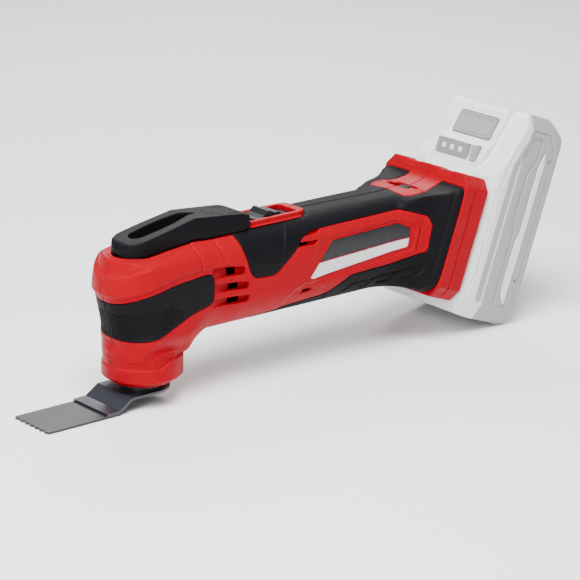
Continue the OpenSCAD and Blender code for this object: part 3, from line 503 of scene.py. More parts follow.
def both(half):
    """A closed outline from its right half, listed upwards."""
    return half + [(-a, b) for a, b in reversed(half)]


def rounded(points, r=1.0):
    """Rounds the corners of a closed outline."""
    p = np.asarray(points, float)
    out = []
    for a, b, c in zip(np.roll(p, 1, 0), p, np.roll(p, -1, 0)):
        u, v = a - b, c - b
        lu, lv = np.linalg.norm(u), np.linalg.norm(v)
        u, v = u / lu * min(r, 0.45 * lu), v / lv * min(r, 0.45 * lv)
        out += [b + u * (1 - k) ** 2 + v * k ** 2 for k in (0, 0.25, 0.5, 0.75, 1)]
    return np.array(out)


def body_plan(s):
    """The outline seen from above: a round nose that tapers downwards."""
    far = np.sqrt((s.x - NOSE_X) ** 2 + s.y ** 2)
    front = np.clip((NOSE_X - s.x) / np.maximum(far, 1e-3), 0, 1)
    taper = np.interp(s.z, [34, 42.2, 65, 71.5, 76, 80, 84],
                      [9.4, 8.0, 2.7, 0.6, 1.0, 1.8, 2.6]).astype(np.float32)
    nose = far - BODY_W + taper * front
    return np.where(s.x < NOSE_X, nose, np.abs(s.y) - BODY_W)


def main_body(s):
    """The head and the barrel."""
    plan = body_plan(s)
    cap = -s.xz(CAP)
    cap = (2.2 * step01(cap, 0.0, 0.5) + 0.38 * np.maximum(cap - 0.5, 0)) * step01(-s.x, -25, -22)
    side = s.xz(BODY_SIDE, 0.3)
    head = s.yz(both(HEAD_HALF), 1.5)
    barrel = superellipse(BODY_W + 0.3, BODY_H, 2.7)(s.ax[1][:, None], s.ax[2][None, :] - BODY_Z)
    mix = step01(s.x, 16.0, 38.0)
    section = head * (1 - mix) + barrel[None].astype(np.float32) * mix
    return smax(smax(side, plan + cap, 0.5), section + cap, 0.6)


def outer_body(s):
    """The body's outer surface without the foot and the collar."""
    neck = smax(s.xz(NECK_SIDE, 1.6),
                s.along(s.n2, lambda n, y: poly_sd(NECK_PLAN, n, y), 120, 240, 1.2), 2.0)
    oval = superellipse(FOOT_W, 40.2, 5)
    neck = smax(neck, s.along(s.t2, lambda t, y: oval(y, t - FOOT_T), -10, 260), 2.0)
    return smin(main_body(s), neck, 7.0)


def lever_plan(s):
    """The lever's outline seen from above."""
    return s.xy(arc(-6.2, 0, 13.1, 90, 270, 36) + LEVER_PLAN, 0.4)


# ---------------------------------------------------------------- body shell and grips

FINE = 1.0
RATIO = 0.42


def shell_skin(s):
    """The finished outer skin of head, barrel and neck, with its shallow relief."""
    skin = outer_body(s)
    side_on = step01(s.y, 9, 17)
    below = s.xz([(-44, 69.4), (-31, 69.6), (-27, 70.6), (-19.5, 73.2), (-5, 78.2), (8.8, 81), (22.8, 82.1),
                  (33, 80.4), (52, 81.6), (60, 82), (66, 70), (66, 20), (-44, 20)], 0.3)
    skin = skin + 0.9 * step01(-below, 0, 0.9) * step01(s.z, 40, 48) * step01(-s.x, -56, -40)
    for line in ([(23.2, 97), (24.2, 90), (25.8, 82.1)], [(41.0, 98), (41.8, 90), (43.2, 82.7)]):
        skin = skin + groove(s.xz(line, 0, line_d), 1.1, 0.9)
    # crease that runs up from the lower vents
    low = s.xz([(84, 30), (90.3, 50.1), (97.2, 55.6), (106, 59), (116, 58), (124, 52), (134, 30)], 0.5)
    skin = skin + 0.8 * step01(-low, 0, 2.2) * side_on * step01(s.z, 40, 44)
    rim = s.xz(rounded(PANEL_RIM, 1.5), 0.3)
    skin = skin + 0.9 * step01(-rim, 0, 1.2) * side_on * step01(s.x, 108, 124)
    return skin


def head_grooves(s):
    """Depth of the nine fine grooves of the head's band."""
    cut = 0
    for i in range(9):
        f = i / 8
        left = (-27.0 + 3.6 * f, 58.8 - 14.4 * f)
        x_end = 2.5 + 9.5 * min(1, f / 0.45) if f < 0.45 else 12 - 19 * (f - 0.45) / 0.55
        bend = (left[0] + 9, left[1] + 0.2)
        right = (x_end, bend[1] + (x_end - bend[0]) * (0.2 - 0.06 * f))
        line = s.xz([(-44, left[1] + 0.2), bend, right], 0.5, line_d)
        cut = np.maximum(cut, groove(line, 1.0, 1.1))
    return cut * step01(s.y, 1.9, 2.5)


def grip_solid(s, zone, skin, relief):
    """A grip let into the skin, one side of the middle, sunk by relief."""
    g = smax(skin - 0.12 + relief, zone, 0.7)
    g = smax(g, -(skin + GRIP_T), 0.2)
    return smax(g, 0.16 - s.y, 0.35)


def handle_zone(s):
    """Where the handle's grip covers the body, seen from the side and from above."""
    zone = s.xz(rounded(HANDLE_ZONE, 1.6), 0.6)
    zone = smax(zone, -np.where(s.z > 80, s.xy(SADDLE, 1.2), 20), 0.8)
    zone = smax(zone, s.n - (FOOT_N0 - 0.1), 0.4)
    return smax(zone, -s.box((70, -10.6, 93), (118.6, 10.6, 120), 3.5), 0.5)


def plate_zone(s, grow=0.0):
    return s.xz(rounded(PLATE_ZONE, 1.0), 0.3) - grow


def head_grip_parts():
    s = Space((-34, 0.34 * FINE, 37), (-0.4, 0.34 * FINE, 28.6), (40.6, 0.3 * FINE, 79.5))
    skin = shell_skin(s)
    zone = s.xz(rounded(HEAD_ZONE, 3), 0.5)
    add_pair("head_band", s, grip_solid(s, zone, skin, head_grooves(s)), GRIP, "head_grip")


def handle_grip_parts():
    s = Space((54, 0.5 * FINE, 244), (-0.4, 0.45 * FINE, 39.5), (24, 0.45 * FINE, 104))
    skin = shell_skin(s)
    inner = s.xz(rounded(FLAP_INNER, 1.5), 0.4)
    relief = 0.55 * step01(-inner, -0.4, 0.5)
    for line in ([(139.7, 45.3), (145.7, 50.0), (163.0, 49.6), (159.5, 46.6), (154.3, 45.1)],
                 [(163.0, 49.6), (168.8, 50.8), (181.0, 50.9), (175.3, 46.8), (168, 45.6)],
                 [(181.0, 50.9), (189.0, 52.3), (199.5, 51.8), (197.8, 48.8), (192.6, 46.3),
                  (184, 46.2)]):
        relief = relief + groove(s.xz(line, 0.0, line_d), 1.3, 0.8) * step01(s.y, 12, 15)
    relief = relief + groove(np.abs(s.n - 176.5), 2.0, 0.45) * step01(s.y, 30, 33)
    add_pair("handle_cover", s, grip_solid(s, handle_zone(s), skin, relief), GRIP,
             "handle_grip")


def plate_parts():
    s = Space((106, 0.45 * FINE, 194), (20, 0.25 * FINE, 30), (57, 0.35 * FINE, 85))
    skin = shell_skin(s)
    plate = smax(smax(plate_zone(s), skin + 0.05, 0.2), -(skin + 0.62), 0.1)
    upper = s.xz([(90, 66.0), (116.5, 69.0), (190.9, 72.2), (230, 74), (230, 120), (90, 120)])
    add_pair("name_plate_upper", s, smax(plate, upper + 0.4, 0.1), PLATE_DARK,
             "name_plate")
    line = smax(plate + 0.1, np.abs(upper) - 0.38, 0.1)
    add_pair("name_plate_line", s, line, RED)
    add_pair("name_plate_lower", s, smax(plate, 0.4 - upper, 0.1), PLATE_SILVER)


def add_pair(name, s, field, mat, node_name=None):
    """The right piece and its mirror image on the left, in place of a pair of CAD nodes if named."""
    v, f = surface(s, field)
    for side, (a, b) in (("_right", (v, f)), ("_left", mirrored(v, f))):
        piece(name + side, a, b, mat, "body", [node_name + side] if node_name else (), RATIO)


VENTS = [[(31.5, 73.4), (57.2, 72.8), (57.4, 76.8), (55, 78.3), (33.9, 80.4)],
         [(33.4, 64.9), (60.2, 63.6), (60.2, 67.2), (58.6, 68.3), (34.2, 70.2)],
         [(33.6, 56.2), (58.4, 55.3), (61, 56.2), (60.6, 59.5), (35.2, 61.2)]]
VENT_HOLES = [(45.6, 52.2, 73.4, 78.6), (47.2, 54.2, 64.4, 69.2), (46.6, 55.0, 55.9, 60.2)]
SMALL_VENTS = [([(103.9, 87.2), (117, 86.6), (120.2, 90.4), (105.2, 91.4)], (105.5, 110.2, 87.6, 90.8)),
               ([(99.1, 81.3), (113.1, 80.9), (116.1, 83.3), (100.2, 84.2)], (100.6, 108.6, 81.6, 83.8)),
               ([(102, 50.8), (112.3, 53.4), (108.4, 54.2), (105.4, 53.4)], (104, 110.5, 51.8, 53.8))]


SCREW_SPOTS = [(-20.5, 61.5, 10.6), (50.5, 45, 14.2), (50.5, 90.4, 14.2), (123.5, 45.6, 14.2),
               (158, 89.6, 14.2), (186, 46, 14.2)]


def screws():
    """Pan heads with a cross recess, on shanks that reach into the left half."""
    verts, faces, count = [], [], 0
    for x, z, seat in SCREW_SPOTS:
        s = Space((x - 3.6, 0.3 * FINE, x + 3.6), (-12.4, 0.4 * FINE, seat + 4),
                  (z - 3.6, 0.3 * FINE, z + 3.6))
        r = np.sqrt((s.x - x) ** 2 + (s.z - z) ** 2)
        thread = 0.12 * np.cos(s.y * (2 * math.pi / 1.6))
        shank = smax(r - 1.62 + thread, np.abs(s.y - (seat - 11.7) / 2) - (seat + 11.7) / 2 - 0.3, 0.2)
        head = smax(r - 3.1, np.abs(s.y - seat - 1.65) - 1.55, 1.1)
        cross = np.minimum(s.box((x - 2, seat + 1.7, z - 0.45), (x + 2, seat + 5, z + 0.45)),
                           s.box((x - 0.45, seat + 1.7, z - 2), (x + 0.45, seat + 5, z + 2)))
        v, f = surface(s, smax(smin(shank, head, 0.3), -cross, 0.15))
        verts.append(v)
        faces.append(f + count)
        count += len(v)
    piece("body_screws", np.concatenate(verts), np.concatenate(faces), SCREW, "body",
          ["housing_screws"], 1.0)


def shell_parts():
    s = Space((-33.2, 0.4 * FINE, 36, 0.56 * FINE, 180, 0.48 * FINE, 252),
              (-0.4, 0.42 * FINE, 39.6), (11, 0.4 * FINE, 110))
    skin = shell_skin(s)
    side_on = step01(s.y, 9, 17)
    foot = smax(s.along(s.t2, lambda t, y: poly_sd(FOOT_FACE, y, t), 60, 220, 0.7),
                np.abs(s.n - (FOOT_N0 + PACK_N0) / 2) - (PACK_N0 - FOOT_N0) / 2, 1.2)
    # grooves round the foot and across its top, lowered strips beside them
    foot = foot + groove(np.abs(s.n - 190.5), 1.0, 0.8) * step01(s.y, 33, 35) * step01(172 - s.t, 0, 1)
    foot = foot + groove(np.abs(s.n - 192.5), 1.0, 0.7) * step01(s.t, 175, 177)
    for y in (8.5, 21.5):
        foot = foot + groove(np.abs(s.y - y), 1.0, 0.8) * step01(s.t, 172, 176) * step01(s.n, 182, 184)
    foot = foot + 0.5 * step01(s.t, 174, 177) * step01(s.y, 8.2, 8.8) * step01(-s.y, -21.8, -21.2)
    shell = smin(skin, foot, 1.2)

    # collar under the head
    radius = np.sqrt(s.ax[0][:, None] ** 2 + s.ax[1][None, :] ** 2)
    r_axis = np.arange(0, 60, 0.3)
    table = soften(poly_sd(COLLAR, r_axis[:, None], s.ax[2][None, :]), 0.7)
    fi = np.clip(radius / 0.3, 0, len(r_axis) - 1.01)
    i0 = fi.astype(int)
    w = (fi - i0)[..., None]
    collar = (table[i0] * (1 - w) + table[i0 + 1] * w).astype(np.float32)
    radius = radius[:, :, None].astype(np.float32)
    block = smax(s.xz([(-4, 17), (22, 17), (22, 29.6), (3.8, 29.6), (-1.6, 26.2), (-4, 25)], 0.2),
                 np.abs(radius - 22.7) - 2.2, 0.4)
    collar = smin(collar, smax(block, 6 - s.y, 0.5), 0.15)
    tab = smax(smax(s.box((-30, -5, 28.8), (-20, 4.6, 30.4), 0.2), radius - 24.2, 0.2), 21 - radius, 0.2)
    collar = smin(collar, tab, 0.15)
    shell = smin(shell, collar, 1.6)
    mark = np.minimum(s.xz([(0.2, 35.6), (4.8, 35.6), (2.4, 33)], 0),
                      s.xz([(-8, 32.6), (7, 32.6), (7, 31.3), (-4.4, 31.3), (-4.4, 30.2), (-8, 30.2)], 0))
    shell = shell - 0.55 * step01(-mark, 0, 0.4) * step01(s.y, 8, 9)

    # frame round the switch
    frame_top = s.xy(rounded([(62, 12), (112, 11.4), (118.4, 9), (121.4, 0), (118.4, -9),
                              (112, -11.4), (62, -12)], 2.5), 0.4)
    rail = smax(smax(frame_top, s.z - 99.1, 0.8), 90 - s.z, 0.5)
    rail = smax(rail, -s.box((60, -10, 98.1), (80, 9.4, 104), 0.4), 0.4)
    shell = smin(shell, rail, 0.8)

    # rim in front of the lever
    plan = lever_plan(s)
    drop = s.xz([(-44, 80), (-44, 91.4), (-20, 91.4), (-17.6, 91.4), (-13, 91.4), (-6, 91.2),
                 (20, 94.1), (38, 94.5), (42, 93.5), (42, 80)], 0.3)
    lip = smax(smax(drop, plan - 1.6, 0.7), 0.45 - plan, 0.2)
    shell = smin(shell, smax(lip, 88 - s.z, 0.5), 1.2)

    # seats of the grips and the name plate
    seats = smin(s.xz(rounded(HEAD_ZONE, 3), 0.5), handle_zone(s), 0.2) - 0.1
    shell = smax(shell, -smax(seats, -(skin + GRIP_T + 0.1), 0.3), 0.5)
    shell = smax(shell, -smax(plate_zone(s, 0.12), -(skin + 0.7), 0.15), 0.2)
    shell = shell + groove(s.xz([(199.6, 78.9), (195.5, 63.2)], 0, line_d), 1.0, 1.0) * side_on

    # vents with a sloping floor
    for shape, (x0, x1, z0, z1) in zip(VENTS, VENT_HOLES):
        left = shape[0][0]
        depth = 0.9 + 2.4 * np.clip((s.x - left - 0.5 * (z1 - s.z)) / (x0 - left - 2), 0, 1)
        recess = smax(s.xz(rounded(shape, 0.7), 0.2), -(skin + depth), 0.2)
        shell = smax(shell, -recess, 0.35)
        shell = smax(shell, -s.box((x0, 15, z0), (x1, 45, z1), 0.5), 0.2)
    for shape, (x0, x1, z0, z1) in SMALL_VENTS:
        depth = 0.4 + 1.2 * np.clip((s.x - shape[0][0]) / 8, 0, 1)
        recess = smax(s.xz(rounded(shape, 0.7), 0.2), -(skin + depth + 0.6), 0.2)
        shell = smax(shell, -recess, 0.3)
        shell = smax(shell, -s.box((x0, 12, z0), (x1, 45, z1), 0.3), 0.2)

    # inside
    thick = WALL + 1.5 * step01(s.x, 26, 28) * step01(-s.x, -64, -62)
    shell = smax(shell, -(skin + thick), 0.5)
    shell = smax(shell, -smax(foot + WALL, s.n - (PACK_N0 - 8.2), 0.5), 0.5)
    shell = smax(shell, -smax(radius - 19.2, np.abs(s.z - 30.6) - 16, 0.3), 0.3)
    shell = smax(shell, -smax(radius - 14, s.z - 17, 0.3), 0.3)

    # openings for the lever, the switch, the dial and the battery rails
    reach = np.sqrt(np.maximum(13.1 ** 2 - s.y ** 2, 0)) - 2.8 + 0.5
    sweep = np.sqrt((s.x - HINGE[0]) ** 2 + (s.z - HINGE[1]) ** 2) - reach
    shell = smax(shell, -smax(sweep, s.y - 13.4, 0.2), 0.3)
    shell = smax(shell, -s.box((-15.5, -13, 78), (4.5, 12.9, 88.6), 0.3), 0.3)
    shell = smax(shell, -smax(s.box((-15.5, -13, 78), (4.5, 12.9, 112), 0.3), plan + 0.2, 0.3), 0.3)
    shell = smax(shell, -s.box((3, -5, 84), (15.5, 4.8, 112), 0.4), 0.3)
    shell = smax(shell, -smax(smax(plan - 0.4, 91 - s.z, 0.2), -(s.z - lever_floor(s)), 0.2), 0.3)
    shell = smax(shell, -s.box((78, -9, 92), (112.4, 8.4, 112), 1.2), 0.5)
    shell = smax(shell, -s.box((DIAL_X - 5.6, -10, 88), (DIAL_X + 5.6, 9.2, 116), 0.8), 0.6)
    wide = smax(smax(np.abs(s.n - 195.8) - 2.8, s.y - 26.4, 0.2), 102.5 - s.t, 0.2)
    narrow = smax(smax(np.abs(s.n - 204) - 6, s.y - 22.4, 0.2), 102.5 - s.t, 0.2)
    shell = smax(shell, -np.minimum(wide, narrow), 0.4)

    left = smax(shell, SEAM - s.y, 0.4)
    right = left
    for x, z, seat in SCREW_SPOTS:
        bore = smax(np.sqrt((s.x - x) ** 2 + (s.z - z) ** 2) - 3.3, seat - s.y, 0.1)
        right = smax(right, -bore, 0.5)
    v, f = surface(s, right)
    piece("body_shell_right", v, f, RED, "body", ["housing_right"], RATIO)
    v, f = mirrored(*surface(s, left))
    piece("body_shell_left", v, f, RED, "body", ["housing_left"], RATIO)


def lever_floor(s):
    """Height of the lever's underside."""
    return np.interp(s.x, [-19, -17.6, -13, -6, 20, 64, 74],
                     [94.6, 93.1, 92.1, 91.5, 94.5, 95.2, 96.4]).astype(np.float32) - 0.35


def lever_part():
    s = Space((-20.5, 0.36 * FINE, 76.8), (-16.5, 0.36 * FINE, 16.5), (80.5, 0.36 * FINE, 110.2))
    plan = lever_plan(s)
    lever = smax(smax(s.xz(LEVER_SIDE, 0.6), plan, 1.2), s.yz(LEVER_SECTION, 0.4), 1.2)
    lever = smax(lever, -(main_body(s) - 0.4), 0.2)
    # finger slot, pointed towards the rear, with a bevelled rim
    slot = s.xy(rounded(arc(-3.6, 0, 5.1, 90, 270, 12) +
                        [(8, -5.8), (18, -5.6), (28, -4), (40, 0), (28, 4), (18, 5.6), (8, 5.8)], 2), 0.3)
    lever = smax(lever, -slot, 0.9)
    # two bars and two ticks on the rear block instead of lettering
    for x0, x1, y0, y1 in ((46, 47.6, -8, 3), (51, 52.6, -9.5, 1.5), (58, 66, -9.5, -8), (58, 66, 6, 7.5)):
        top = 108.9 - (0.5 * (x0 + x1) - 30.6) * 0.0864
        bar = s.box((x0, y0, top - 2), (x1, y1, top + 3), 0.2)
        lever = smin(lever, smax(bar, s.xz(LEVER_SIDE, 0.6) - 0.35, 0.2), 0.15)
    lever = lever + groove(np.abs(s.x - 68.6), 1.2, 0.5) * step01(s.z, 101, 104)
    # cam, the bracket's pocket and the pin's bore
    turn = [(HINGE[0] + (CAM_R + 3.5 * i / 20) * math.cos(math.radians(-90 - 5 * i)),
             HINGE[1] + (CAM_R + 3.5 * i / 20) * math.sin(math.radians(-90 - 5 * i))) for i in range(21)]
    cam = s.xz(turn + [(HINGE[0], HINGE[1] + 3), (HINGE[0] + 4, HINGE[1]), (HINGE[0] + 3, HINGE[1] - 5)])
    cam = smax(smax(cam, np.abs(s.y) - 12, 0.3), plan, 0.3)
    lever = smin(lever, cam, 0.3)
    lever = smax(lever, -slot, 0.5)
    pocket = s.xz([(-24, 82), (0, 82), (0, 98.4), (-13.3, 98.4), (-16.6, 96.2), (-16.6, 91), (-24, 91)])
    lever = smax(lever, -smax(pocket, np.abs(s.y) - 4.8, 0.2), 0.3)
    pin = np.sqrt((s.x - HINGE[0]) ** 2 + (s.z - HINGE[1]) ** 2) - 2.02
    lever = smax(lever, -smax(pin, -11.1 - s.y, 0.1), 0.1)
    v, f = surface(s, lever)
    piece("lever_cover", v, f, LEVER, "lever", ["release_lever"], RATIO)


# ---------------------------------------------------------------- battery pack, in the tilted frame

def pack_hull(s, c=0.0):
    """The pack's main block, drawn in by c."""
    side = s.xz(rounded([
        (PACK_N0 + 0.2, PACK_T0 + 8), (PACK_N0 + 5, PACK_T0 + 2), (PACK_N0 + 20, PACK_T0),
        (REST_N, PACK_T0), (REST_N + 5.5, PACK_T0 + 6), (PACK_N1, PACK_T0 + 12),
        (PACK_N1, PACK_T1 - 16), (PACK_N1 - 1.6, PACK_T1 - 13.6), (PACK_N1 - 12, PACK_T1 - 2),
        (PACK_N1 - 16, PACK_T1), (PACK_N0 + 23, PACK_T1), (PACK_N0 + 19, PACK_T1 - 4),
        (PACK_N0 + 9, PACK_T1 - 34), (PACK_N0 + 3, 186), (PACK_N0 + 0.2, 181)], 1.5))
    plan = s.xy(both([(34, PACK_N0 - 1), (39, PACK_N0 + 8), (39, PACK_N1 - 6), (35, PACK_N1 + 1)]),
                0, lambda p, u, v: poly_sd(p, v, u))
    face = s.yz(both([(33, PACK_T0), (39, 104), (39, PACK_T1 - 10), (33, PACK_T1)]))
    return smax(smax(side + c, plan + c, 1.6), face + c, 1.6)


def pack_bridge(s, c=0.0):
    """The raised middle of the front face, with the gauge and the button."""
    side = s.xz([(PACK_N0 + 0.6, 180), (PACK_N0 + 1.6, 188), (PACK_N0 + 4.4, 198.5), (PACK_N0 + 9, 203),
                 (PACK_N0 + 14.6, PACK_T1 - 4), (PACK_N0 + 17, PACK_T1 - 1), (PACK_N0 + 30, PACK_T1 - 1),
                 (PACK_N0 + 30, 180)], 0.4)
    return smax(side + c, np.abs(s.y) - 22 + c, 1.2)


COVER = [(PACK_N0 + 16, PACK_T0 + 14), (PACK_N0 + 21, PACK_T0 + 8), (PACK_N0 + 46, PACK_T0 + 8),
         (PACK_N0 + 50, PACK_T0 + 14), (PACK_N0 + 50, PACK_T1 - 22), (PACK_N0 + 42, PACK_T1 - 10),
         (PACK_N0 + 27, PACK_T1 - 10), (PACK_N0 + 16, PACK_T1 - 34)]
PACK_SPOTS = [(-33.4, 101), (33.4, 101), (-33.4, 214), (33.4, 214)]


def pack_parts():
    """The pack's two shells, its side plates and the strips on them."""
    h = 0.62 * FINE
    s = Space((PACK_N0 - 8.6, h, PACK_N1 + 0.6), (-39.6, h, 39.6), (PACK_T0 - 0.6, h, PACK_T1 + 0.6))
    rails = np.minimum(s.box((PACK_N0 - 3.8, -22, 106), (PACK_N0 + 4, 22, 179), 0.4),
                       s.box((PACK_N0 - 8, -26, 106), (PACK_N0 - 3.7, 26, 179), 0.4))
    side_y = np.abs(s.y)
    outer = smin(pack_hull(s), pack_bridge(s), 0.8)
    # raised frame line and recessed channel along each side
    line = s.xz([(PACK_N0 + 6, 108), (PACK_N0 + 10, 118), (PACK_N0 + 8, 170), (PACK_N0 + 12, 190),
                 (PACK_N0 + 15, 203)], 0.3, line_d)
    outer = outer + groove(line, 1.6, 0.7) * step01(side_y, 30, 34)
    front = s.xz([(PACK_N0 - 5, 104), (PACK_N0 + 3.4, 108), (PACK_N0 + 3.4, 184), (PACK_N0 - 5, 184)], 0.5)
    outer = outer + 0.6 * step01(-front, 0, 1) * step01(side_y, 27, 28)
    # fine ridges across the top of the bridge
    ridge = 0.5 + 0.5 * np.cos((s.z + s.x) * (2 * math.pi / 1.9))
    outer = outer + 0.55 * ridge * step01(s.z, 219.6, 220.2) * step01(-side_y, -15.4, -14.8) \
        * step01(-s.x, -(PACK_N0 + 24), -(PACK_N0 + 22)) * step01(-s.z, -PACK_T1 + 2, -PACK_T1 + 3)
    # frame round the button and its seat
    frame_line = np.abs(smax(side_y - 18.6, np.abs(s.z - 211.2) - 9.4, 3.0))
    outer = outer + groove(frame_line, 1.4, 0.6) * step01(-s.x, -(PACK_N0 + 20), -(PACK_N0 + 18))
    pack = np.minimum(outer, rails)
    inner = smin(pack_hull(s, 2.2), pack_bridge(s, 2.2), 0.5)
    inner = smax(inner, -s.box((PACK_N0 + 28, -14, 205.6), (PACK_N0 + 31, 14, PACK_T1 - 1)), 0.2)
    for y, t in PACK_SPOTS:
        inner = smax(inner, 4 - np.sqrt((s.y - y) ** 2 + (s.z - t) ** 2), 0.3)
    pack = smax(pack, -inner, 0.3)
    for y in (-12, 0, 12):
        pack = smax(pack, -s.box((PACK_N0 - 7.3, y - 0.8, 100), (PACK_N0 - 1.2, y + 0.8, 128)), 0.1)
    pocket = s.box((PACK_N0 - 2, -17.3, 203.1), (PACK_N0 + 22, 17.3, 218.7), 1.0)
    pack = smax(pack, -pocket, 0.5)
    pack = smax(pack, -s.box((PACK_N0 + 0.4, -9.4, 187.6), (PACK_N0 + 3.4, 19.4, 198.2), 0.5), 0.3)
    pack = smax(pack, -s.box((PACK_N0 + 0.4, -17.4, 187.6), (PACK_N0 + 12, -11.6, 198.2), 0.5), 0.3)
    cover = s.xz(rounded(COVER, 2))
    pack = smax(pack, -smax(cover - 0.15, 37.55 - side_y, 0.1), 0.4)
    for y, t in PACK_SPOTS:
        bore = np.sqrt((s.y - y) ** 2 + (s.z - t) ** 2)
        pack = smax(pack, -smax(bore - 1.9, 221 - s.x, 0.1), 0.1)
        pack = smax(pack, -smax(bore - 3.1, PACK_N1 - 22 - s.x, 0.1), 0.5)
    v, f = surface(s, smax(pack, s.x - PACK_SPLIT + SEAM, 0.3))
    piece("pack_front_cover", tilt_points(v), f, PACK, "pack", ["pack_shell_front"], RATIO)
    v, f = surface(s, smax(pack, PACK_SPLIT + SEAM - s.x, 0.3))
    piece("pack_rear_cover", tilt_points(v), f, PACK_DARK, "pack", ["pack_shell_rear"], RATIO)

    s = Space((PACK_N0 + 14, h, PACK_N1), (37, 0.3 * FINE, 39.3), (PACK_T0 + 5, h, PACK_T1 - 6))
    cover = s.xz(rounded(COVER, 2))
    plate = smax(smax(cover + 0.1, pack_hull(s) + 0.05, 0.8), 37.75 - s.y, 0.2)
    channel = s.xz([(PACK_N0 + 20, 100), (PACK_N0 + 34, 100), (PACK_N0 + 34, 150), (PACK_N0 + 31, 158),
                    (PACK_N0 + 31, 188), (PACK_N0 + 37, 200), (PACK_N0 + 37, 214), (PACK_N0 + 26, 214),
                    (PACK_N0 + 20, 192)], 0.4)
    plate = plate + 0.7 * step01(-channel, 0, 1)
    for t in (120, 200):
        plate = plate + groove(np.sqrt((s.x - (PACK_N0 + 47.2)) ** 2 + (s.z - t) ** 2), 2.6, 0.6)
    strip = s.xz(rounded([(PACK_N0 + 38.6, 106), (PACK_N0 + 43.6, 101), (PACK_N0 + 44.4, 196),
                          (PACK_N0 + 41.4, 208), (PACK_N0 + 38.0, 196), (PACK_N0 + 38.0, 150),
                          (PACK_N0 + 36.2, 146), (PACK_N0 + 36.2, 112)], 1.2))
    plate = plate + groove(strip, 1.0, 0.35)
    v, f = with_mirror(*surface(s, plate))
    piece("pack_side_plates", tilt_points(v), f, PACK_DARK, "pack", ["pack_side_covers"],
          RATIO)
    raised = smax(smax(strip + 0.6, np.abs(s.y - 38.55) - 0.35, 0.2), -pack_hull(s) - 1.0, 0.1)
    v, f = with_mirror(*surface(s, raised))
    piece("pack_strips", tilt_points(v), f, PACK, "pack", (), RATIO)


def button_part():
    """The release button, with a dished frame and fine ribs."""
    h = 0.4 * FINE
    s = Space((PACK_N0 + 8, h, PACK_N0 + 18.4), (-17.6, h, 17.6), (202.6, h, 219.4))
    wedge = s.xz([(PACK_N0 + 8.4, 203), (PACK_N0 + 12.6, 219), (PACK_N0 + 17.6, 219),
                  (PACK_N0 + 17.6, 203)], 0.3)
    body = smax(wedge, s.box((PACK_N0, -17, 203.4), (PACK_N0 + 30, 17, 218.4), 1.2), 0.5)
    face = s.x - (PACK_N0 + 8.4 + (s.z - 203) * 4.2 / 16)
    dish = np.abs(smax(np.abs(s.y) - 14.2, np.abs(s.z - 210.6) - 5.4, 1.5))
    body = body + groove(dish, 1.0, 0.45)
    ribs = 0.5 + 0.5 * np.cos(s.y * (2 * math.pi / 1.9))
    zone = step01(13.6 - np.abs(s.y), 0, 0.8) * step01(5.0 - np.abs(s.z - 210.6), 0, 0.8)
    body = body + 0.55 * (1 - ribs) * zone * step01(-face, -3, -1)
    v, f = surface(s, body)
    piece("release_button", tilt_points(v), f, PACK_PART, "pack_button",
          ["pack_button"], RATIO)


def lamps():
    """Three square lamps in the charge window."""
    s = Space((PACK_N0 + 1.0, 0.2 * FINE, PACK_N0 + 2.4), (-6, 0.2 * FINE, 16), (190, 0.25 * FINE, 196))
    d = 1e3
    for y in (-2.2, 5.2, 12.6):
        d = np.minimum(d, s.box((PACK_N0 + 1.15, y - 1.5, 191.2), (PACK_N0 + 2.2, y + 1.5, 194.6), 0.2))
    v, f = surface(s, d)
    piece("gauge_lamps", tilt_points(v), f, LAMP, "pack", (), RATIO)


CAM_R = 7.0

head_grip_parts()
handle_grip_parts()
plate_parts()
shell_parts()
screws()
lever_part()
pack_parts()
button_part()
lamps()


# ---------------------------------------------------------------- camera, floor and light

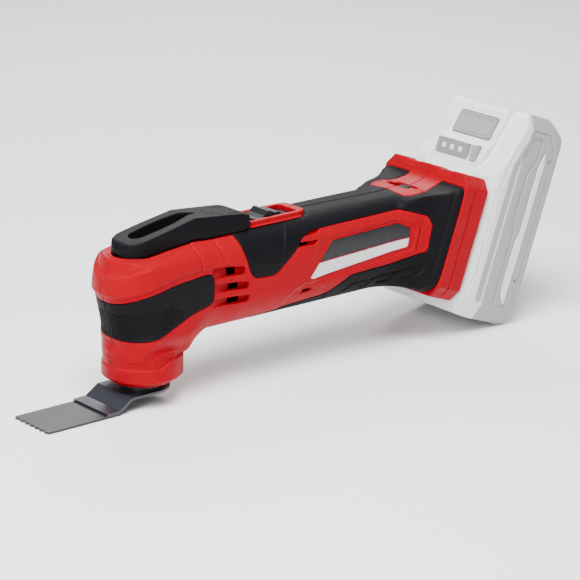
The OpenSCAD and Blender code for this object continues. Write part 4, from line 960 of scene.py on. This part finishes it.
def camera():
    """The camera that took the photo, solved from the tool's own lines."""
    cam_data = bpy.data.cameras.new("camera")
    cam_data.sensor_width = 36.0
    cam_data.lens = 158.462
    cam = bpy.data.objects.new("camera", cam_data)
    bpy.context.scene.collection.objects.link(cam)
    az, el, roll = math.radians(-40.77), math.radians(17.79), math.radians(1.15)
    back = Vector((math.sin(az) * math.cos(el), -math.cos(az) * math.cos(el), math.sin(el)))
    right = Vector((math.cos(az), math.sin(az), 0))
    up = back.cross(right)
    turned_right = math.cos(roll) * right + math.sin(roll) * up
    turned_up = math.cos(roll) * up - math.sin(roll) * right
    rot = Matrix((turned_right, turned_up, back)).transposed()
    cam.matrix_world = Matrix.Translation(Vector((-870.2, -1143.07, 529.29)) * MM) @ rot.to_4x4()
    cam_data.clip_end = 20
    bpy.context.scene.camera = cam


def paper_floor():
    me = bpy.data.meshes.new("floor")
    size, level = 6.0, -0.0004
    me.from_pydata([(-size, -size, level), (size, -size, level), (size, size, level),
                    (-size, size, level)], [], [(0, 1, 2, 3)])
    floor = bpy.data.objects.new("floor", me)
    bpy.context.scene.collection.objects.link(floor)
    m = bpy.data.materials.new("floor_paper")
    m.use_nodes = True
    bsdf = m.node_tree.nodes["Principled BSDF"]
    bsdf.inputs["Base Color"].default_value = (0.93, 0.93, 0.93, 1)
    bsdf.inputs["Roughness"].default_value = 0.6
    bsdf.inputs["Specular IOR Level"].default_value = 0.2
    me.materials.append(m)


def area_light(name, place, target, width, height, power):
    data = bpy.data.lights.new(name, "AREA")
    data.shape = "RECTANGLE"
    data.size, data.size_y = width, height
    data.energy = power
    ob = bpy.data.objects.new(name, data)
    bpy.context.scene.collection.objects.link(ob)
    ob.location = place
    ob.rotation_euler = (Vector(target) - Vector(place)).to_track_quat("-Z", "Y").to_euler()


def studio_light():
    world = bpy.data.worlds.new("studio")
    world.use_nodes = True
    background = world.node_tree.nodes["Background"]
    background.inputs["Color"].default_value = (1, 1, 1, 1)
    background.inputs["Strength"].default_value = 0.35
    bpy.context.scene.world = world
    area_light("key", (-0.35, -0.35, 1.35), (0.1, 0, 0.05), 0.9, 0.7, 54)
    area_light("side", (-1.3, -0.7, 0.75), (0.0, 0, 0.06), 0.5, 0.6, 12)
    area_light("rim", (0.8, 0.9, 0.9), (0.15, 0, 0.06), 0.7, 0.5, 12)


camera()
paper_floor()
studio_light()
